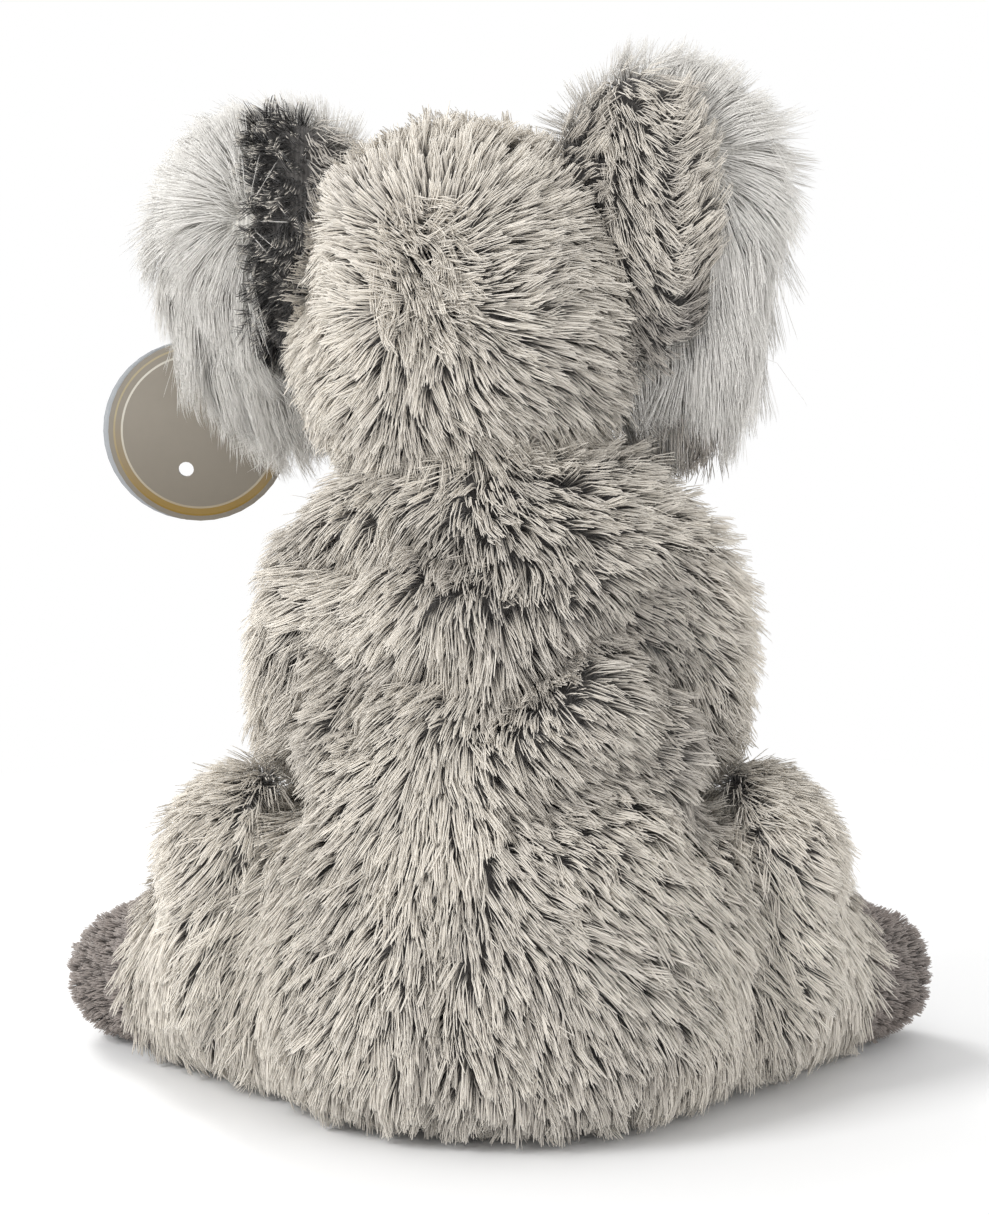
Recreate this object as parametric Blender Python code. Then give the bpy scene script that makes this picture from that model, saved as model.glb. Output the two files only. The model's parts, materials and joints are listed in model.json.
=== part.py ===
"""A seated plush koala, built as its sewn covers, stuffing, safety eyes, ears, limbs and swing tag.

Metres, +Z up. The koala sits on z = 0, its belly faces -Y and its left side is +X. Its head is turned
towards -X. Every cover is plush fabric with its pile, so its outer face is the mean height of the fur.
"""

import math

import bmesh
import bpy
from mathutils import Matrix, Vector

# Fits shared by all pieces
GAP = 0.0003  # between pieces that touch
OVERRUN = 0.004  # how far a cutter runs past what it cuts
PLUSH = 0.005  # fabric with its pile pressed flat
FLAT_DEPTH = 0.0005  # how deep the seat is cut flat

# Torso, lofted from the seat to the neck
TORSO_HEIGHT = 0.150
TORSO_HALF_WIDTH = 0.060
TORSO_HALF_DEPTH = 0.050
TORSO_SET_BACK = 0.006
TORSO_HEIGHT_SHARES = (0.0, 0.004, 0.03, 0.10, 0.21, 0.34, 0.47, 0.61, 0.75, 0.86, 0.94, 0.985, 1.0)
TORSO_WIDTH_SHARES = (0.0, 0.54, 0.82, 0.96, 1.0, 0.93, 0.79, 0.74, 0.70, 0.60, 0.46, 0.24, 0.0)
TORSO_DEPTH_SHARES = (0.0, 0.56, 0.84, 0.98, 1.0, 0.93, 0.82, 0.74, 0.70, 0.62, 0.50, 0.28, 0.0)
TORSO_BACK_SHARES = (1.0, 1.0, 1.0, 1.0, 0.9, 0.7, 0.5, 0.5, 0.6, 0.5, 0.2, 0.0, 0.0)
SIDE_SEAM_BACK = 0.014  # the side seams lie this far behind the middle
PELLET_BAG_HALF_WIDTH = 0.030
PELLET_BAG_HALF_DEPTH = 0.034
PELLET_BAG_HEIGHT = 0.026
PELLET_BAG_LIFT = 0.008  # its underside over the seat

# Neck: the head turns about a line that leans forward and to the koala's left
NECK_SIDE = 0.005
NECK_DROP = 0.015  # from the top of the torso's form down to the neck seam
NECK_HEIGHT = TORSO_HEIGHT - NECK_DROP
NECK_LEAN_FORWARD = math.radians(9.0)
NECK_LEAN_SIDE = math.radians(5.0)
HEAD_TURN = math.radians(-20.0)

# Head, measured from the neck along its own turning axis
HEAD_HALF_WIDTH = 0.0355
HEAD_HALF_DEPTH = 0.0385
HEAD_HALF_HEIGHT = 0.0370
HEAD_RISE = 0.0324
CHEEK_SHARE = 0.28  # how much the head fills out below its middle
MUZZLE_HALF_WIDTH = 0.018
MUZZLE_HALF_DEPTH = 0.015
MUZZLE_HALF_HEIGHT = 0.015
MUZZLE_FORWARD = 0.0335
MUZZLE_RISE = 0.021
NOSE_HALF_WIDTH = 0.0085
NOSE_HALF_DEPTH = 0.0050
NOSE_HALF_HEIGHT = 0.0125
NOSE_FORWARD = 0.0490
NOSE_RISE = 0.0290
EYE_RADIUS = 0.0046
EYE_SINK = 0.0010  # from the eye's middle down to the pile's face
EYE_STEM_RADIUS = 0.0015
EYE_STEM_LENGTH = 0.0095
EYE_WASHER_RADIUS = 0.0050
EYE_WASHER_THICKNESS = 0.0012
EYE_BEARING = math.radians(27.0)  # from straight ahead to each side
EYE_PITCH = math.radians(12.0)  # above the head's middle

# Ears: grey back fabric on a larger white front fabric, whose long pile stands out all round it
EAR_HALF_WIDTH = 0.0195
EAR_HALF_HEIGHT = 0.0285
EAR_OUT = 0.0415  # the back's middle from the head's middle plane
EAR_RISE = 0.054
EAR_BACK = 0.004
EAR_DISH = 0.008  # how far the fabric curves forward, one bend reach from its middle
EAR_BEND_WIDTH = 0.026
EAR_BEND_HEIGHT = 0.031
EAR_FABRIC = 0.004
FRINGE_HALF_WIDTH = 0.0240
FRINGE_HALF_HEIGHT = 0.0350
FRINGE_OUT = 0.0065  # the front's middle lies this much further out
FRINGE_DROP = 0.0060
FRINGE_FABRIC = 0.006
EAR_HINGE_OUT = 0.034
EAR_FOLD = math.radians(20.0)

# Arms: sewn flat to the body's sides at the shoulder
ARM_PLANE = 0.036
ARM_HALF_THICKNESS = 0.0115
ARM_RADIUS = 0.0165
ARM_OUT = 0.0415
ARM_TOP_OUT = 0.0360
SHOULDER_BACK = 0.004
SHOULDER_DROP = 0.023  # from the neck seam
SHOULDER_HEIGHT = NECK_HEIGHT - SHOULDER_DROP
ARM_TOP_RISE = 0.016
ARM_SWING_ROOM = 0.004  # how far the shoulder's flat side runs down past the top of the thigh
UPPER_ARM_LENGTH = 0.022
ELBOW_BEND_RADIUS = 0.020
ELBOW_BEND = math.radians(80.0)
FOREARM_LENGTH = 0.036
WRIST_FORWARD = 0.036
ARM_RADIUS_SHARES = (0.78, 0.92, 1.0, 1.0, 0.96, 0.88, 0.82, 0.79, 0.76)
ARM_OUT_SHARES = (0.0, 0.5, 0.9, 1.0, 1.0, 1.0)

# Legs: sewn flat to the hips, with the feet turned out
HIP_PLANE = 0.050
HIP_BACK = 0.002
THIGH_RADIUS = 0.033
HIP_HEIGHT = THIGH_RADIUS - FLAT_DEPTH
LEG_START_OUT = 0.016
THIGH_OUT = 0.042
KNEE_OUT = 0.051
KNEE_FORWARD = 0.007
SHIN_OUT = 0.060
SHIN_FORWARD = 0.018
FOOT_OUT = 0.074
FOOT_FORWARD = 0.030
TOE_OUT = 0.0915
TOE_FORWARD = 0.041
LEG_TURN_OUT = math.radians(48.0)  # the way the leg's rings face, from straight ahead
LEG_RADIUS_SHARES = (0.86, 0.93, 0.98, 1.0, 0.95, 0.76, 0.54, 0.46, 0.45)
ANKLE_OUT = 0.067
ANKLE_FORWARD = 0.026
ANKLE_TURN_OUT = math.radians(55.0)

# Swing tag: a folded round card on a clear plastic loop through the left ear
TAG_RADIUS = 0.020
TAG_CARD = 0.0005
TAG_LEAF_GAP = 0.0004
TAG_FOLD_SHARE = 0.94  # where the straight fold crosses the card, as a share of its radius
TAG_HANG_SHARE = 0.84  # where the loop's hole is, as a share of the card's radius
TAG_LEAF_PEEK = 0.0012  # how far the front leaf stands out past the back leaf
TAG_HOLE_RADIUS = 0.0014
PUNCHED_HOLE_RADIUS = 0.0017
PUNCHED_HOLE_SIDE = 0.0030
PUNCHED_HOLE_DROP = 0.0085
LEAF_NOTCH_RADIUS = 0.0042
LOOP_WIRE_RADIUS = 0.0004
LOOP_HALF_LENGTH = 0.0090
LOOP_FORWARD = 0.0035  # the loop's middle lies this far in front of the ear's fabric
TAG_FORWARD = 0.0090
LOOP_HEIGHT = 0.0105
LOOP_CORNER = 0.0022
LOOP_BORE_RADIUS = 0.0014
LOOP_EAR_BEARING = math.radians(-22.0)  # round the white front, from straight out
LOOP_EAR_SHARE = 0.88  # from the front's middle to its rim

# Facets
END_CROWD_SHARE = 0.6  # how much a limb's rings crowd towards its ends, to round them
TORSO_SIDES, TORSO_RINGS = 28, 18
HEAD_SIDES, HEAD_RINGS = 26, 16
LIMB_SIDES, LIMB_RINGS = 16, 12
EYE_SIDES, EYE_RINGS = 14, 9
NOSE_SIDES, NOSE_RINGS = 23, 14
CAVITY_SIDES, CAVITY_RINGS = 14, 9
LIMB_CAVITY_SIDES, LIMB_CAVITY_RINGS = 10, 8
EAR_SIDES, EAR_RINGS = 22, 5
CARD_SIDES = 40
LOOP_CORNER_STEPS = 4

SIDES = (("left", 1), ("right", -1))


def clear_scene():
    for old in list(bpy.data.objects):
        bpy.data.objects.remove(old, do_unlink=True)


def new_collection(name):
    collection = bpy.data.collections.new(name)
    bpy.context.scene.collection.children.link(collection)
    return collection


def new_material(name, colour, roughness, metallic=0.0):
    material = bpy.data.materials.new(name)
    material.use_nodes = True
    shader = material.node_tree.nodes["Principled BSDF"]
    shader.inputs["Base Color"].default_value = (*colour, 1.0)
    shader.inputs["Roughness"].default_value = roughness
    shader.inputs["Metallic"].default_value = metallic
    return material


clear_scene()
PARTS = new_collection("plush_koala")
CUTTERS = new_collection("cutters")

GREY_PLUSH = new_material("grey_plush", (0.42, 0.40, 0.38), 0.95)
WHITE_PLUSH = new_material("white_plush", (0.86, 0.86, 0.84), 0.95)
TAUPE_PLUSH = new_material("taupe_plush", (0.25, 0.21, 0.19), 0.95)
FIBRE = new_material("polyester_fibre", (0.90, 0.90, 0.88), 1.0)
PELLET_CLOTH = new_material("pellet_bag_cloth", (0.80, 0.78, 0.72), 0.9)
EYE_PLASTIC = new_material("eye_plastic", (0.02, 0.014, 0.010), 0.08)
NOSE_PLASTIC = new_material("nose_plastic", (0.03, 0.028, 0.028), 0.35)
WASHER_PLASTIC = new_material("washer_plastic", (0.75, 0.75, 0.73), 0.5)
CARD = new_material("tag_card", (0.72, 0.68, 0.62), 0.45)
CLEAR_PLASTIC = new_material("clear_plastic", (0.85, 0.87, 0.88), 0.15)


def empty_at(name, place):
    """A bare axis that carries moving pieces."""
    axis = bpy.data.objects.new(name, None)
    axis.matrix_world = place
    PARTS.objects.link(axis)
    return axis


def new_object(name, bm, material=None, parent=None, place=None):
    """A piece if it has a material, otherwise a cutter."""
    face_out(bm)
    mesh = bpy.data.meshes.new(name)
    bm.to_mesh(mesh)
    bm.free()
    mesh.shade_smooth()
    mesh.set_sharp_from_angle(angle=math.radians(40.0))
    made = bpy.data.objects.new(name, mesh)
    if material:
        mesh.materials.append(material)
        PARTS.objects.link(made)
    else:
        made.hide_render = True
        made.display_type = "WIRE"
        CUTTERS.objects.link(made)
    if parent:
        made.parent = parent
    if place:
        made.matrix_local = place
    return made


def combine(target, other, operation="DIFFERENCE"):
    boolean = target.modifiers.new(f"{operation.lower()} {other.name}", "BOOLEAN")
    boolean.operation = operation
    boolean.solver = "EXACT"
    boolean.object = other


def along(shares, position):
    """A smooth curve through evenly spaced shares, read at a position from 0 to 1."""
    last = len(shares) - 1
    reach = min(max(position, 0.0), 1.0) * last
    index = min(int(reach), last - 1)
    t = reach - index
    before, here, there, after = (shares[min(max(index + k, 0), last)] for k in (-1, 0, 1, 2))
    slope_here, slope_there = (there - before) / 2, (after - here) / 2
    return (
        (2 * t**3 - 3 * t**2 + 1) * here
        + (t**3 - 2 * t**2 + t) * slope_here
        + (3 * t**2 - 2 * t**3) * there
        + (t**3 - t**2) * slope_there
    )


def sphere_mesh(sides, rings):
    bm = bmesh.new()
    bmesh.ops.create_uvsphere(bm, u_segments=sides, v_segments=rings, radius=1.0)
    return bm


def face_out(bm):
    if bm.calc_volume(signed=True) < 0.0:
        bmesh.ops.reverse_faces(bm, faces=bm.faces[:])
    bm.normal_update()


def drawn_in(bm, inset):
    """The same form with every point moved in by a wall's thickness."""
    face_out(bm)
    if inset:
        moves = [(v, v.normal * inset) for v in bm.verts]
        for v, move in moves:
            v.co -= move
    bmesh.ops.triangulate(bm, faces=bm.faces[:], quad_method="FIXED")
    return bm


def ellipsoid(centre, radii, sides, rings, inset=0.0):
    bm = sphere_mesh(sides, rings)
    for v in bm.verts:
        v.co = Vector(centre) + Vector(c * r for c, r in zip(v.co, radii))
    return drawn_in(bm, inset)


def ring_place(co, rings):
    """Where a unit sphere's point lies along its axis, from 0 to 1, and its direction round it."""
    level = round((1.0 - math.acos(max(-1.0, min(1.0, co.z))) / math.pi) * rings) / rings
    flat = Vector((co.x, co.y))
    return level, flat.normalized() if flat.length > 1e-6 else Vector((0.0, 0.0))


def torso_form(sides, rings, inset=0.0):
    """The pear of the body: rings of a sphere spread up from the seat to the neck."""
    bm = sphere_mesh(sides, rings)
    for v in bm.verts:
        level, way = ring_place(v.co, rings)
        height = along(TORSO_HEIGHT_SHARES, level) * (TORSO_HEIGHT + FLAT_DEPTH) - FLAT_DEPTH
        v.co = (
            way.x * max(0.0, along(TORSO_WIDTH_SHARES, level)) * TORSO_HALF_WIDTH,
            way.y * max(0.0, along(TORSO_DEPTH_SHARES, level)) * TORSO_HALF_DEPTH
            + along(TORSO_BACK_SHARES, level) * TORSO_SET_BACK,
            height,
        )
    return drawn_in(bm, inset)


def limb_form(centre, section, radii, sides, rings, inset=0.0):
    """A stuffed limb: rings of a sphere spread along a spine.

    centre(level) is the spine, and section(level) gives the two directions of a ring, whose lengths
    stretch its radius. A level runs from 0 to 1. A form that is drawn in is shorter and thinner.
    """
    bm = sphere_mesh(sides, rings)
    spine = [centre(step / rings) for step in range(rings + 1)]
    whole = sum((there - here).length for here, there in zip(spine, spine[1:]))
    trim = inset / whole
    for v in bm.verts:
        level, way = ring_place(v.co, rings)
        level -= END_CROWD_SHARE * math.sin(math.tau * level) / math.tau
        from_end = min(level, 1.0 - level) * (whole - 2 * inset)
        level = trim + level * (1 - 2 * trim)
        radius = along(radii, level)
        cap = radius - inset
        round_end = math.sqrt(1.0 - max(1.0 - from_end / cap, 0.0) ** 2)
        ways = section(level)
        reach = [(radius * one.length - inset) * round_end for one in ways]
        v.co = centre(level)
        for one, share, length in zip(ways, way, reach):
            v.co += one.normalized() * share * length
    return drawn_in(bm, 0.0)


def half_space(name, point, normal, parent=None, reach=TORSO_HEIGHT):
    """A large block that holds everything beyond a plane."""
    bm = bmesh.new()
    bmesh.ops.create_cube(bm, size=2.0)
    for v in bm.verts:
        v.co = Vector((v.co.x, v.co.y, v.co.z + 1.0)) * 2.0 * reach
    facing = Vector(normal).to_track_quat("Z", "Y").to_matrix().to_4x4()
    return new_object(name, bm, parent=parent, place=Matrix.Translation(point) @ facing)


def block(name, corner, far_corner, parent=None):
    bm = bmesh.new()
    bmesh.ops.create_cube(bm, size=1.0)
    corner, far_corner = Vector(corner), Vector(far_corner)
    for v in bm.verts:
        v.co = (corner + far_corner) / 2 + Vector(c * s for c, s in zip(v.co, far_corner - corner))
    return new_object(name, bm, parent=parent)


def rod(radius, start, end, sides=CARD_SIDES):
    """A closed cylinder between two points."""
    bm = bmesh.new()
    run = Vector(end) - Vector(start)
    bmesh.ops.create_cone(
        bm, cap_ends=True, segments=sides, radius1=radius, radius2=radius, depth=run.length
    )
    turn = run.to_track_quat("Z", "Y").to_matrix().to_4x4()
    middle = Matrix.Translation((Vector(start) + Vector(end)) / 2)
    bmesh.ops.transform(bm, verts=bm.verts[:], matrix=middle @ turn)
    return bm


def mirrored(side, vector):
    return Vector((side * vector[0], vector[1], vector[2]))


# Neck frame: its +Z is the head's turning axis
NECK_POINT = Vector((NECK_SIDE, 0.0, NECK_HEIGHT))
NECK_FRAME = (
    Matrix.Translation(NECK_POINT)
    @ Matrix.Rotation(NECK_LEAN_SIDE, 4, "Y")
    @ Matrix.Rotation(NECK_LEAN_FORWARD, 4, "X")
)
NECK_AXIS = (NECK_FRAME.to_3x3() @ Vector((0.0, 0.0, 1.0))).normalized()
HEAD_FRAME = NECK_FRAME @ Matrix.Rotation(HEAD_TURN, 4, "Z")


def torso_cutters(word, inset, neck_clear):
    """What ends the torso at the seat, the neck, the hips and the shoulders, drawn in by a wall."""
    reach = 2 * TORSO_HALF_WIDTH
    waist = HIP_HEIGHT + THIGH_RADIUS - ARM_SWING_ROOM - inset
    cutters = [
        half_space(f"seat_{word}", (0.0, 0.0, inset), (0.0, 0.0, -1.0)),
        half_space(f"neck_{word}", NECK_POINT - NECK_AXIS * neck_clear, NECK_AXIS),
    ]
    for name, side in SIDES:
        hip = (side * (HIP_PLANE - inset), 0.0, 0.0)
        cutters.append(half_space(f"hip_{word}_{name}", hip, (side, 0.0, 0.0)))
        shoulder = block(
            f"shoulder_{word}_{name}",
            (side * (ARM_PLANE - inset), -reach, waist),
            (side * reach, reach, TORSO_HEIGHT + reach),
        )
        cutters.append(shoulder)
    return cutters


def make_torso():
    """Two back covers and a belly cover sewn round one body of stuffing, with a pellet bag in the seat."""
    cavity = new_object("torso_cavity", torso_form(CAVITY_SIDES, CAVITY_RINGS, PLUSH))
    for cutter in torso_cutters("wall", PLUSH, PLUSH):
        combine(cavity, cutter)

    reach = 2 * TORSO_HALF_WIDTH
    seam = GAP / 2
    panels = {
        "back_cover_left": ((seam, SIDE_SEAM_BACK + seam), (reach, reach)),
        "back_cover_right": ((-reach, SIDE_SEAM_BACK + seam), (-seam, reach)),
        "belly_cover": ((-reach, -reach), (reach, SIDE_SEAM_BACK - seam)),
    }
    outer = torso_cutters("cut", 0.0, GAP / 2)
    for name, (low, high) in panels.items():
        cover = new_object(name, torso_form(TORSO_SIDES, TORSO_RINGS), GREY_PLUSH)
        for cutter in (*outer, cavity):
            combine(cover, cutter)
        pattern = block(f"{name}_pattern", (*low, -reach), (*high, TORSO_HEIGHT + reach))
        combine(cover, pattern, "INTERSECT")

    stuffing = new_object("torso_stuffing", torso_form(CAVITY_SIDES, CAVITY_RINGS, PLUSH + GAP), FIBRE)
    for cutter in torso_cutters("fill", PLUSH + GAP, PLUSH + GAP):
        combine(stuffing, cutter)

    bag_radii = (PELLET_BAG_HALF_WIDTH, PELLET_BAG_HALF_DEPTH, PELLET_BAG_HEIGHT / 2)
    bag_centre = (0.0, TORSO_SET_BACK, PELLET_BAG_LIFT + PELLET_BAG_HEIGHT / 2)
    new_object("pellet_bag", ellipsoid(bag_centre, bag_radii, CAVITY_SIDES, CAVITY_RINGS), PELLET_CLOTH)
    nest = new_object("pellet_bag_nest", ellipsoid(bag_centre, bag_radii, CAVITY_SIDES, CAVITY_RINGS, -GAP))
    mouth = new_object(
        "pellet_bag_mouth",
        rod(PELLET_BAG_HALF_WIDTH / 2, (0.0, TORSO_SET_BACK, 0.0), bag_centre, CAVITY_SIDES),
    )
    combine(stuffing, nest)
    combine(stuffing, mouth)


def head_form(sides, rings, inset=0.0):
    """A ball that fills out below its middle into the cheeks and the nape."""
    bm = sphere_mesh(sides, rings)
    for v in bm.verts:
        fuller = 1.0 + CHEEK_SHARE * min(v.co.z, 0.0) ** 2
        v.co = (
            v.co.x * fuller * HEAD_HALF_WIDTH,
            v.co.y * fuller * HEAD_HALF_DEPTH,
            v.co.z * HEAD_HALF_HEIGHT + HEAD_RISE,
        )
    return drawn_in(bm, inset)


def muzzle_form(sides, rings, inset=0.0):
    centre = (0.0, -MUZZLE_FORWARD, MUZZLE_RISE)
    radii = (MUZZLE_HALF_WIDTH, MUZZLE_HALF_DEPTH, MUZZLE_HALF_HEIGHT)
    return ellipsoid(centre, radii, sides, rings, inset)


def eye_way(side):
    """The direction of an eye from the head's middle."""
    flat = math.cos(EYE_PITCH)
    return Vector((side * flat * math.sin(EYE_BEARING), -flat * math.cos(EYE_BEARING), math.sin(EYE_PITCH)))


def eye_seat(side, inset):
    """The point on the head's surface, or on one drawn in from it, where an eye sits."""
    way = eye_way(side)
    radii = (HEAD_HALF_WIDTH - inset, HEAD_HALF_DEPTH - inset, HEAD_HALF_HEIGHT - inset)
    stretch = sum((w / r) ** 2 for w, r in zip(way, radii)) ** -0.5
    return Vector((0.0, 0.0, HEAD_RISE)) + way * stretch


def make_head(head):
    """Two side covers that meet in a seam over the head, a muzzle cover, stuffing, eyes and nose."""
    neck = half_space("head_neck_cut", (0.0, 0.0, GAP / 2), (0.0, 0.0, -1.0), head)
    neck_wall = half_space("head_neck_wall", (0.0, 0.0, PLUSH), (0.0, 0.0, -1.0), head)
    neck_fill = half_space("head_neck_fill", (0.0, 0.0, PLUSH + GAP), (0.0, 0.0, -1.0), head)
    cavity = new_object("head_cavity", head_form(CAVITY_SIDES, CAVITY_RINGS, PLUSH), parent=head)
    combine(cavity, neck_wall)
    reach = 3 * HEAD_HALF_WIDTH
    seam = GAP / 2
    covers = {}
    for word, side in SIDES:
        cover = new_object(f"head_cover_{word}", head_form(HEAD_SIDES, HEAD_RINGS), GREY_PLUSH, head)
        corner, far_corner = (side * seam, -reach, -reach), (side * reach, reach, reach)
        pattern = block(f"head_cover_{word}_pattern", corner, far_corner, head)
        combine(cover, neck)
        combine(cover, cavity)
        combine(cover, pattern, "INTERSECT")
        covers[side] = cover
    stuffing = new_object("head_stuffing", head_form(CAVITY_SIDES, CAVITY_RINGS, PLUSH + GAP), FIBRE, head)
    combine(stuffing, neck_fill)

    outside = new_object("head_outside", head_form(HEAD_SIDES, HEAD_RINGS, -GAP), parent=head)
    muzzle = new_object("muzzle_cover", muzzle_form(HEAD_SIDES, HEAD_RINGS), GREY_PLUSH, head)
    combine(muzzle, outside)
    muzzle_outside = new_object("muzzle_outside", muzzle_form(HEAD_SIDES, HEAD_RINGS, -GAP), parent=head)
    nose = new_object(
        "nose",
        ellipsoid(
            (0.0, -NOSE_FORWARD, NOSE_RISE),
            (NOSE_HALF_WIDTH, NOSE_HALF_DEPTH, NOSE_HALF_HEIGHT),
            NOSE_SIDES,
            NOSE_RINGS,
        ),
        NOSE_PLASTIC,
        head,
    )
    combine(nose, muzzle_outside)
    combine(nose, outside)

    for word, side in SIDES:
        way = eye_way(side)
        face = eye_seat(side, 0.0)
        middle = face - way * EYE_SINK
        eye = new_object(
            f"eye_{word}",
            ellipsoid(middle, (EYE_RADIUS, EYE_RADIUS, EYE_RADIUS), EYE_SIDES, EYE_RINGS),
            EYE_PLASTIC,
            head,
        )
        combine(eye, outside)
        stem = new_object(
            f"eye_stem_{word}",
            rod(
                EYE_STEM_RADIUS,
                face + way * EYE_RADIUS / 2,
                face - way * EYE_STEM_LENGTH,
                LIMB_CAVITY_SIDES,
            ),
            parent=head,
        )
        combine(eye, stem, "UNION")
        bore = new_object(
            f"eye_bore_{word}",
            rod(
                EYE_STEM_RADIUS + GAP,
                face + way * OVERRUN,
                face - way * (EYE_STEM_LENGTH + GAP),
                LIMB_CAVITY_SIDES,
            ),
            parent=head,
        )
        combine(covers[side], bore)
        combine(stuffing, bore)
        washer_face = eye_seat(side, PLUSH) - way * GAP
        washer_back = washer_face - way * EYE_WASHER_THICKNESS
        washer = new_object(
            f"eye_washer_{word}",
            rod(EYE_WASHER_RADIUS, washer_face, washer_back, LIMB_SIDES),
            WASHER_PLASTIC,
            head,
        )
        combine(washer, bore)
        pocket = new_object(
            f"eye_washer_pocket_{word}",
            rod(EYE_WASHER_RADIUS + GAP, washer_face + way * OVERRUN, washer_back - way * GAP, LIMB_SIDES),
            parent=head,
        )
        combine(stuffing, pocket)
        washer_room = new_object(
            f"eye_washer_room_{word}",
            rod(EYE_WASHER_RADIUS + GAP, washer_face + way * GAP, washer_back - way * OVERRUN, LIMB_SIDES),
            parent=head,
        )
        combine(covers[side], washer_room)


def dish(x, z):
    """How far forward an ear's fabric stands at a place across it, from the back's middle."""
    return EAR_DISH * ((x / EAR_BEND_WIDTH) ** 2 + (z / EAR_BEND_HEIGHT) ** 2)


def ear_sheet(side, near, thickness, middle, half_width, half_height):
    """One fabric of an ear: a dished oval that starts near behind the dish and runs forward."""
    bm = bmesh.new()
    bmesh.ops.create_circle(bm, cap_ends=False, segments=EAR_SIDES, radius=1.0)
    rim = bm.verts[:]
    hub = bm.verts.new((0.0, 0.0, 0.0))
    for here, there in zip(rim, rim[1:] + rim[:1]):
        bm.faces.new((here, there, hub))
    bmesh.ops.subdivide_edges(
        bm, edges=[e for e in bm.edges if hub in e.verts], cuts=EAR_RINGS - 1, use_grid_fill=True
    )
    for v in bm.verts:
        x, z = middle[0] + v.co.x * half_width, middle[1] + v.co.y * half_height
        v.co = (side * (EAR_OUT + x), EAR_BACK - dish(x, z) - near, EAR_RISE + z)
    sheet = bmesh.ops.extrude_face_region(bm, geom=bm.faces[:])
    moved = [g for g in sheet["geom"] if isinstance(g, bmesh.types.BMVert)]
    bmesh.ops.translate(bm, verts=moved, vec=(0.0, -thickness, 0.0))
    return bm


def loop_bore_point():
    """Where the tag's loop passes the left ear's white front, in the head's frame."""
    x = FRINGE_OUT + math.cos(LOOP_EAR_BEARING) * LOOP_EAR_SHARE * FRINGE_HALF_WIDTH
    z = math.sin(LOOP_EAR_BEARING) * LOOP_EAR_SHARE * FRINGE_HALF_HEIGHT - FRINGE_DROP
    middle = EAR_FABRIC + GAP + FRINGE_FABRIC / 2
    return Vector((EAR_OUT + x, EAR_BACK - dish(x, z) - middle, EAR_RISE + z))


def make_ears(head):
    """Each ear is a grey back fabric and a white front fabric, sewn to the head along its root."""
    loop_point = HEAD_FRAME @ loop_bore_point()
    loop_bore = new_object(
        "loop_bore",
        rod(
            LOOP_BORE_RADIUS,
            loop_point + Vector((0.0, 2 * LOOP_HALF_LENGTH, 0.0)),
            loop_point - Vector((0.0, 2 * LOOP_HALF_LENGTH, 0.0)),
            LIMB_CAVITY_SIDES,
        ),
    )
    for word, side in SIDES:
        hinge = Vector((side * EAR_HINGE_OUT, EAR_BACK, EAR_RISE))
        roots = []
        for step in (-1, 0, 1):
            swing = Matrix.Translation(hinge) @ Matrix.Rotation(step * EAR_FOLD, 4, "Z")
            swing = swing @ Matrix.Translation(-hinge)
            form = head_form(HEAD_SIDES, HEAD_RINGS, -GAP)
            root = new_object(f"ear_root_{word}_{step + 1}", form, parent=head, place=swing)
            roots.append(root)
        back_size = (0.0, 0.0), EAR_HALF_WIDTH, EAR_HALF_HEIGHT
        front_size = (FRINGE_OUT, -FRINGE_DROP), FRINGE_HALF_WIDTH, FRINGE_HALF_HEIGHT
        layers = (
            ("back", ear_sheet(side, 0.0, EAR_FABRIC, *back_size), GREY_PLUSH),
            ("front", ear_sheet(side, EAR_FABRIC + GAP, FRINGE_FABRIC, *front_size), WHITE_PLUSH),
        )
        for layer, form, material in layers:
            sheet = new_object(f"ear_{word}_{layer}", form, material, head)
            for root in roots:
                combine(sheet, root)
            if side > 0:
                combine(sheet, loop_bore)
    return loop_point


def arm_form(side, sides, rings, inset=0.0):
    """Straight down from the shoulder, round the elbow and straight forward to the paw."""
    bend_length = ELBOW_BEND_RADIUS * ELBOW_BEND
    whole = UPPER_ARM_LENGTH + bend_length + FOREARM_LENGTH
    top = Vector((0.0, SHOULDER_BACK, SHOULDER_HEIGHT + ARM_TOP_RISE))

    def turned(level):
        """The spine's heading, from straight down to forward."""
        return min(max((level * whole - UPPER_ARM_LENGTH) / ELBOW_BEND_RADIUS, 0.0), ELBOW_BEND)

    def centre(level):
        down = min(level * whole, UPPER_ARM_LENGTH)
        angle = turned(level)
        past = max(level * whole - UPPER_ARM_LENGTH - bend_length, 0.0)
        forward = ELBOW_BEND_RADIUS * (1 - math.cos(angle)) + past * math.sin(angle)
        down += ELBOW_BEND_RADIUS * math.sin(angle) + past * math.cos(angle)
        out = ARM_TOP_OUT + (ARM_OUT - ARM_TOP_OUT) * along(ARM_OUT_SHARES, level)
        return top + Vector((side * out, -forward, -down))

    def section(level):
        angle = turned(level)
        thin = Vector((ARM_HALF_THICKNESS / ARM_RADIUS, 0.0, 0.0))
        return thin, Vector((0.0, math.cos(angle), -math.sin(angle)))

    radii = [share * ARM_RADIUS for share in ARM_RADIUS_SHARES]
    return limb_form(centre, section, radii, sides, rings, inset)


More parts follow.
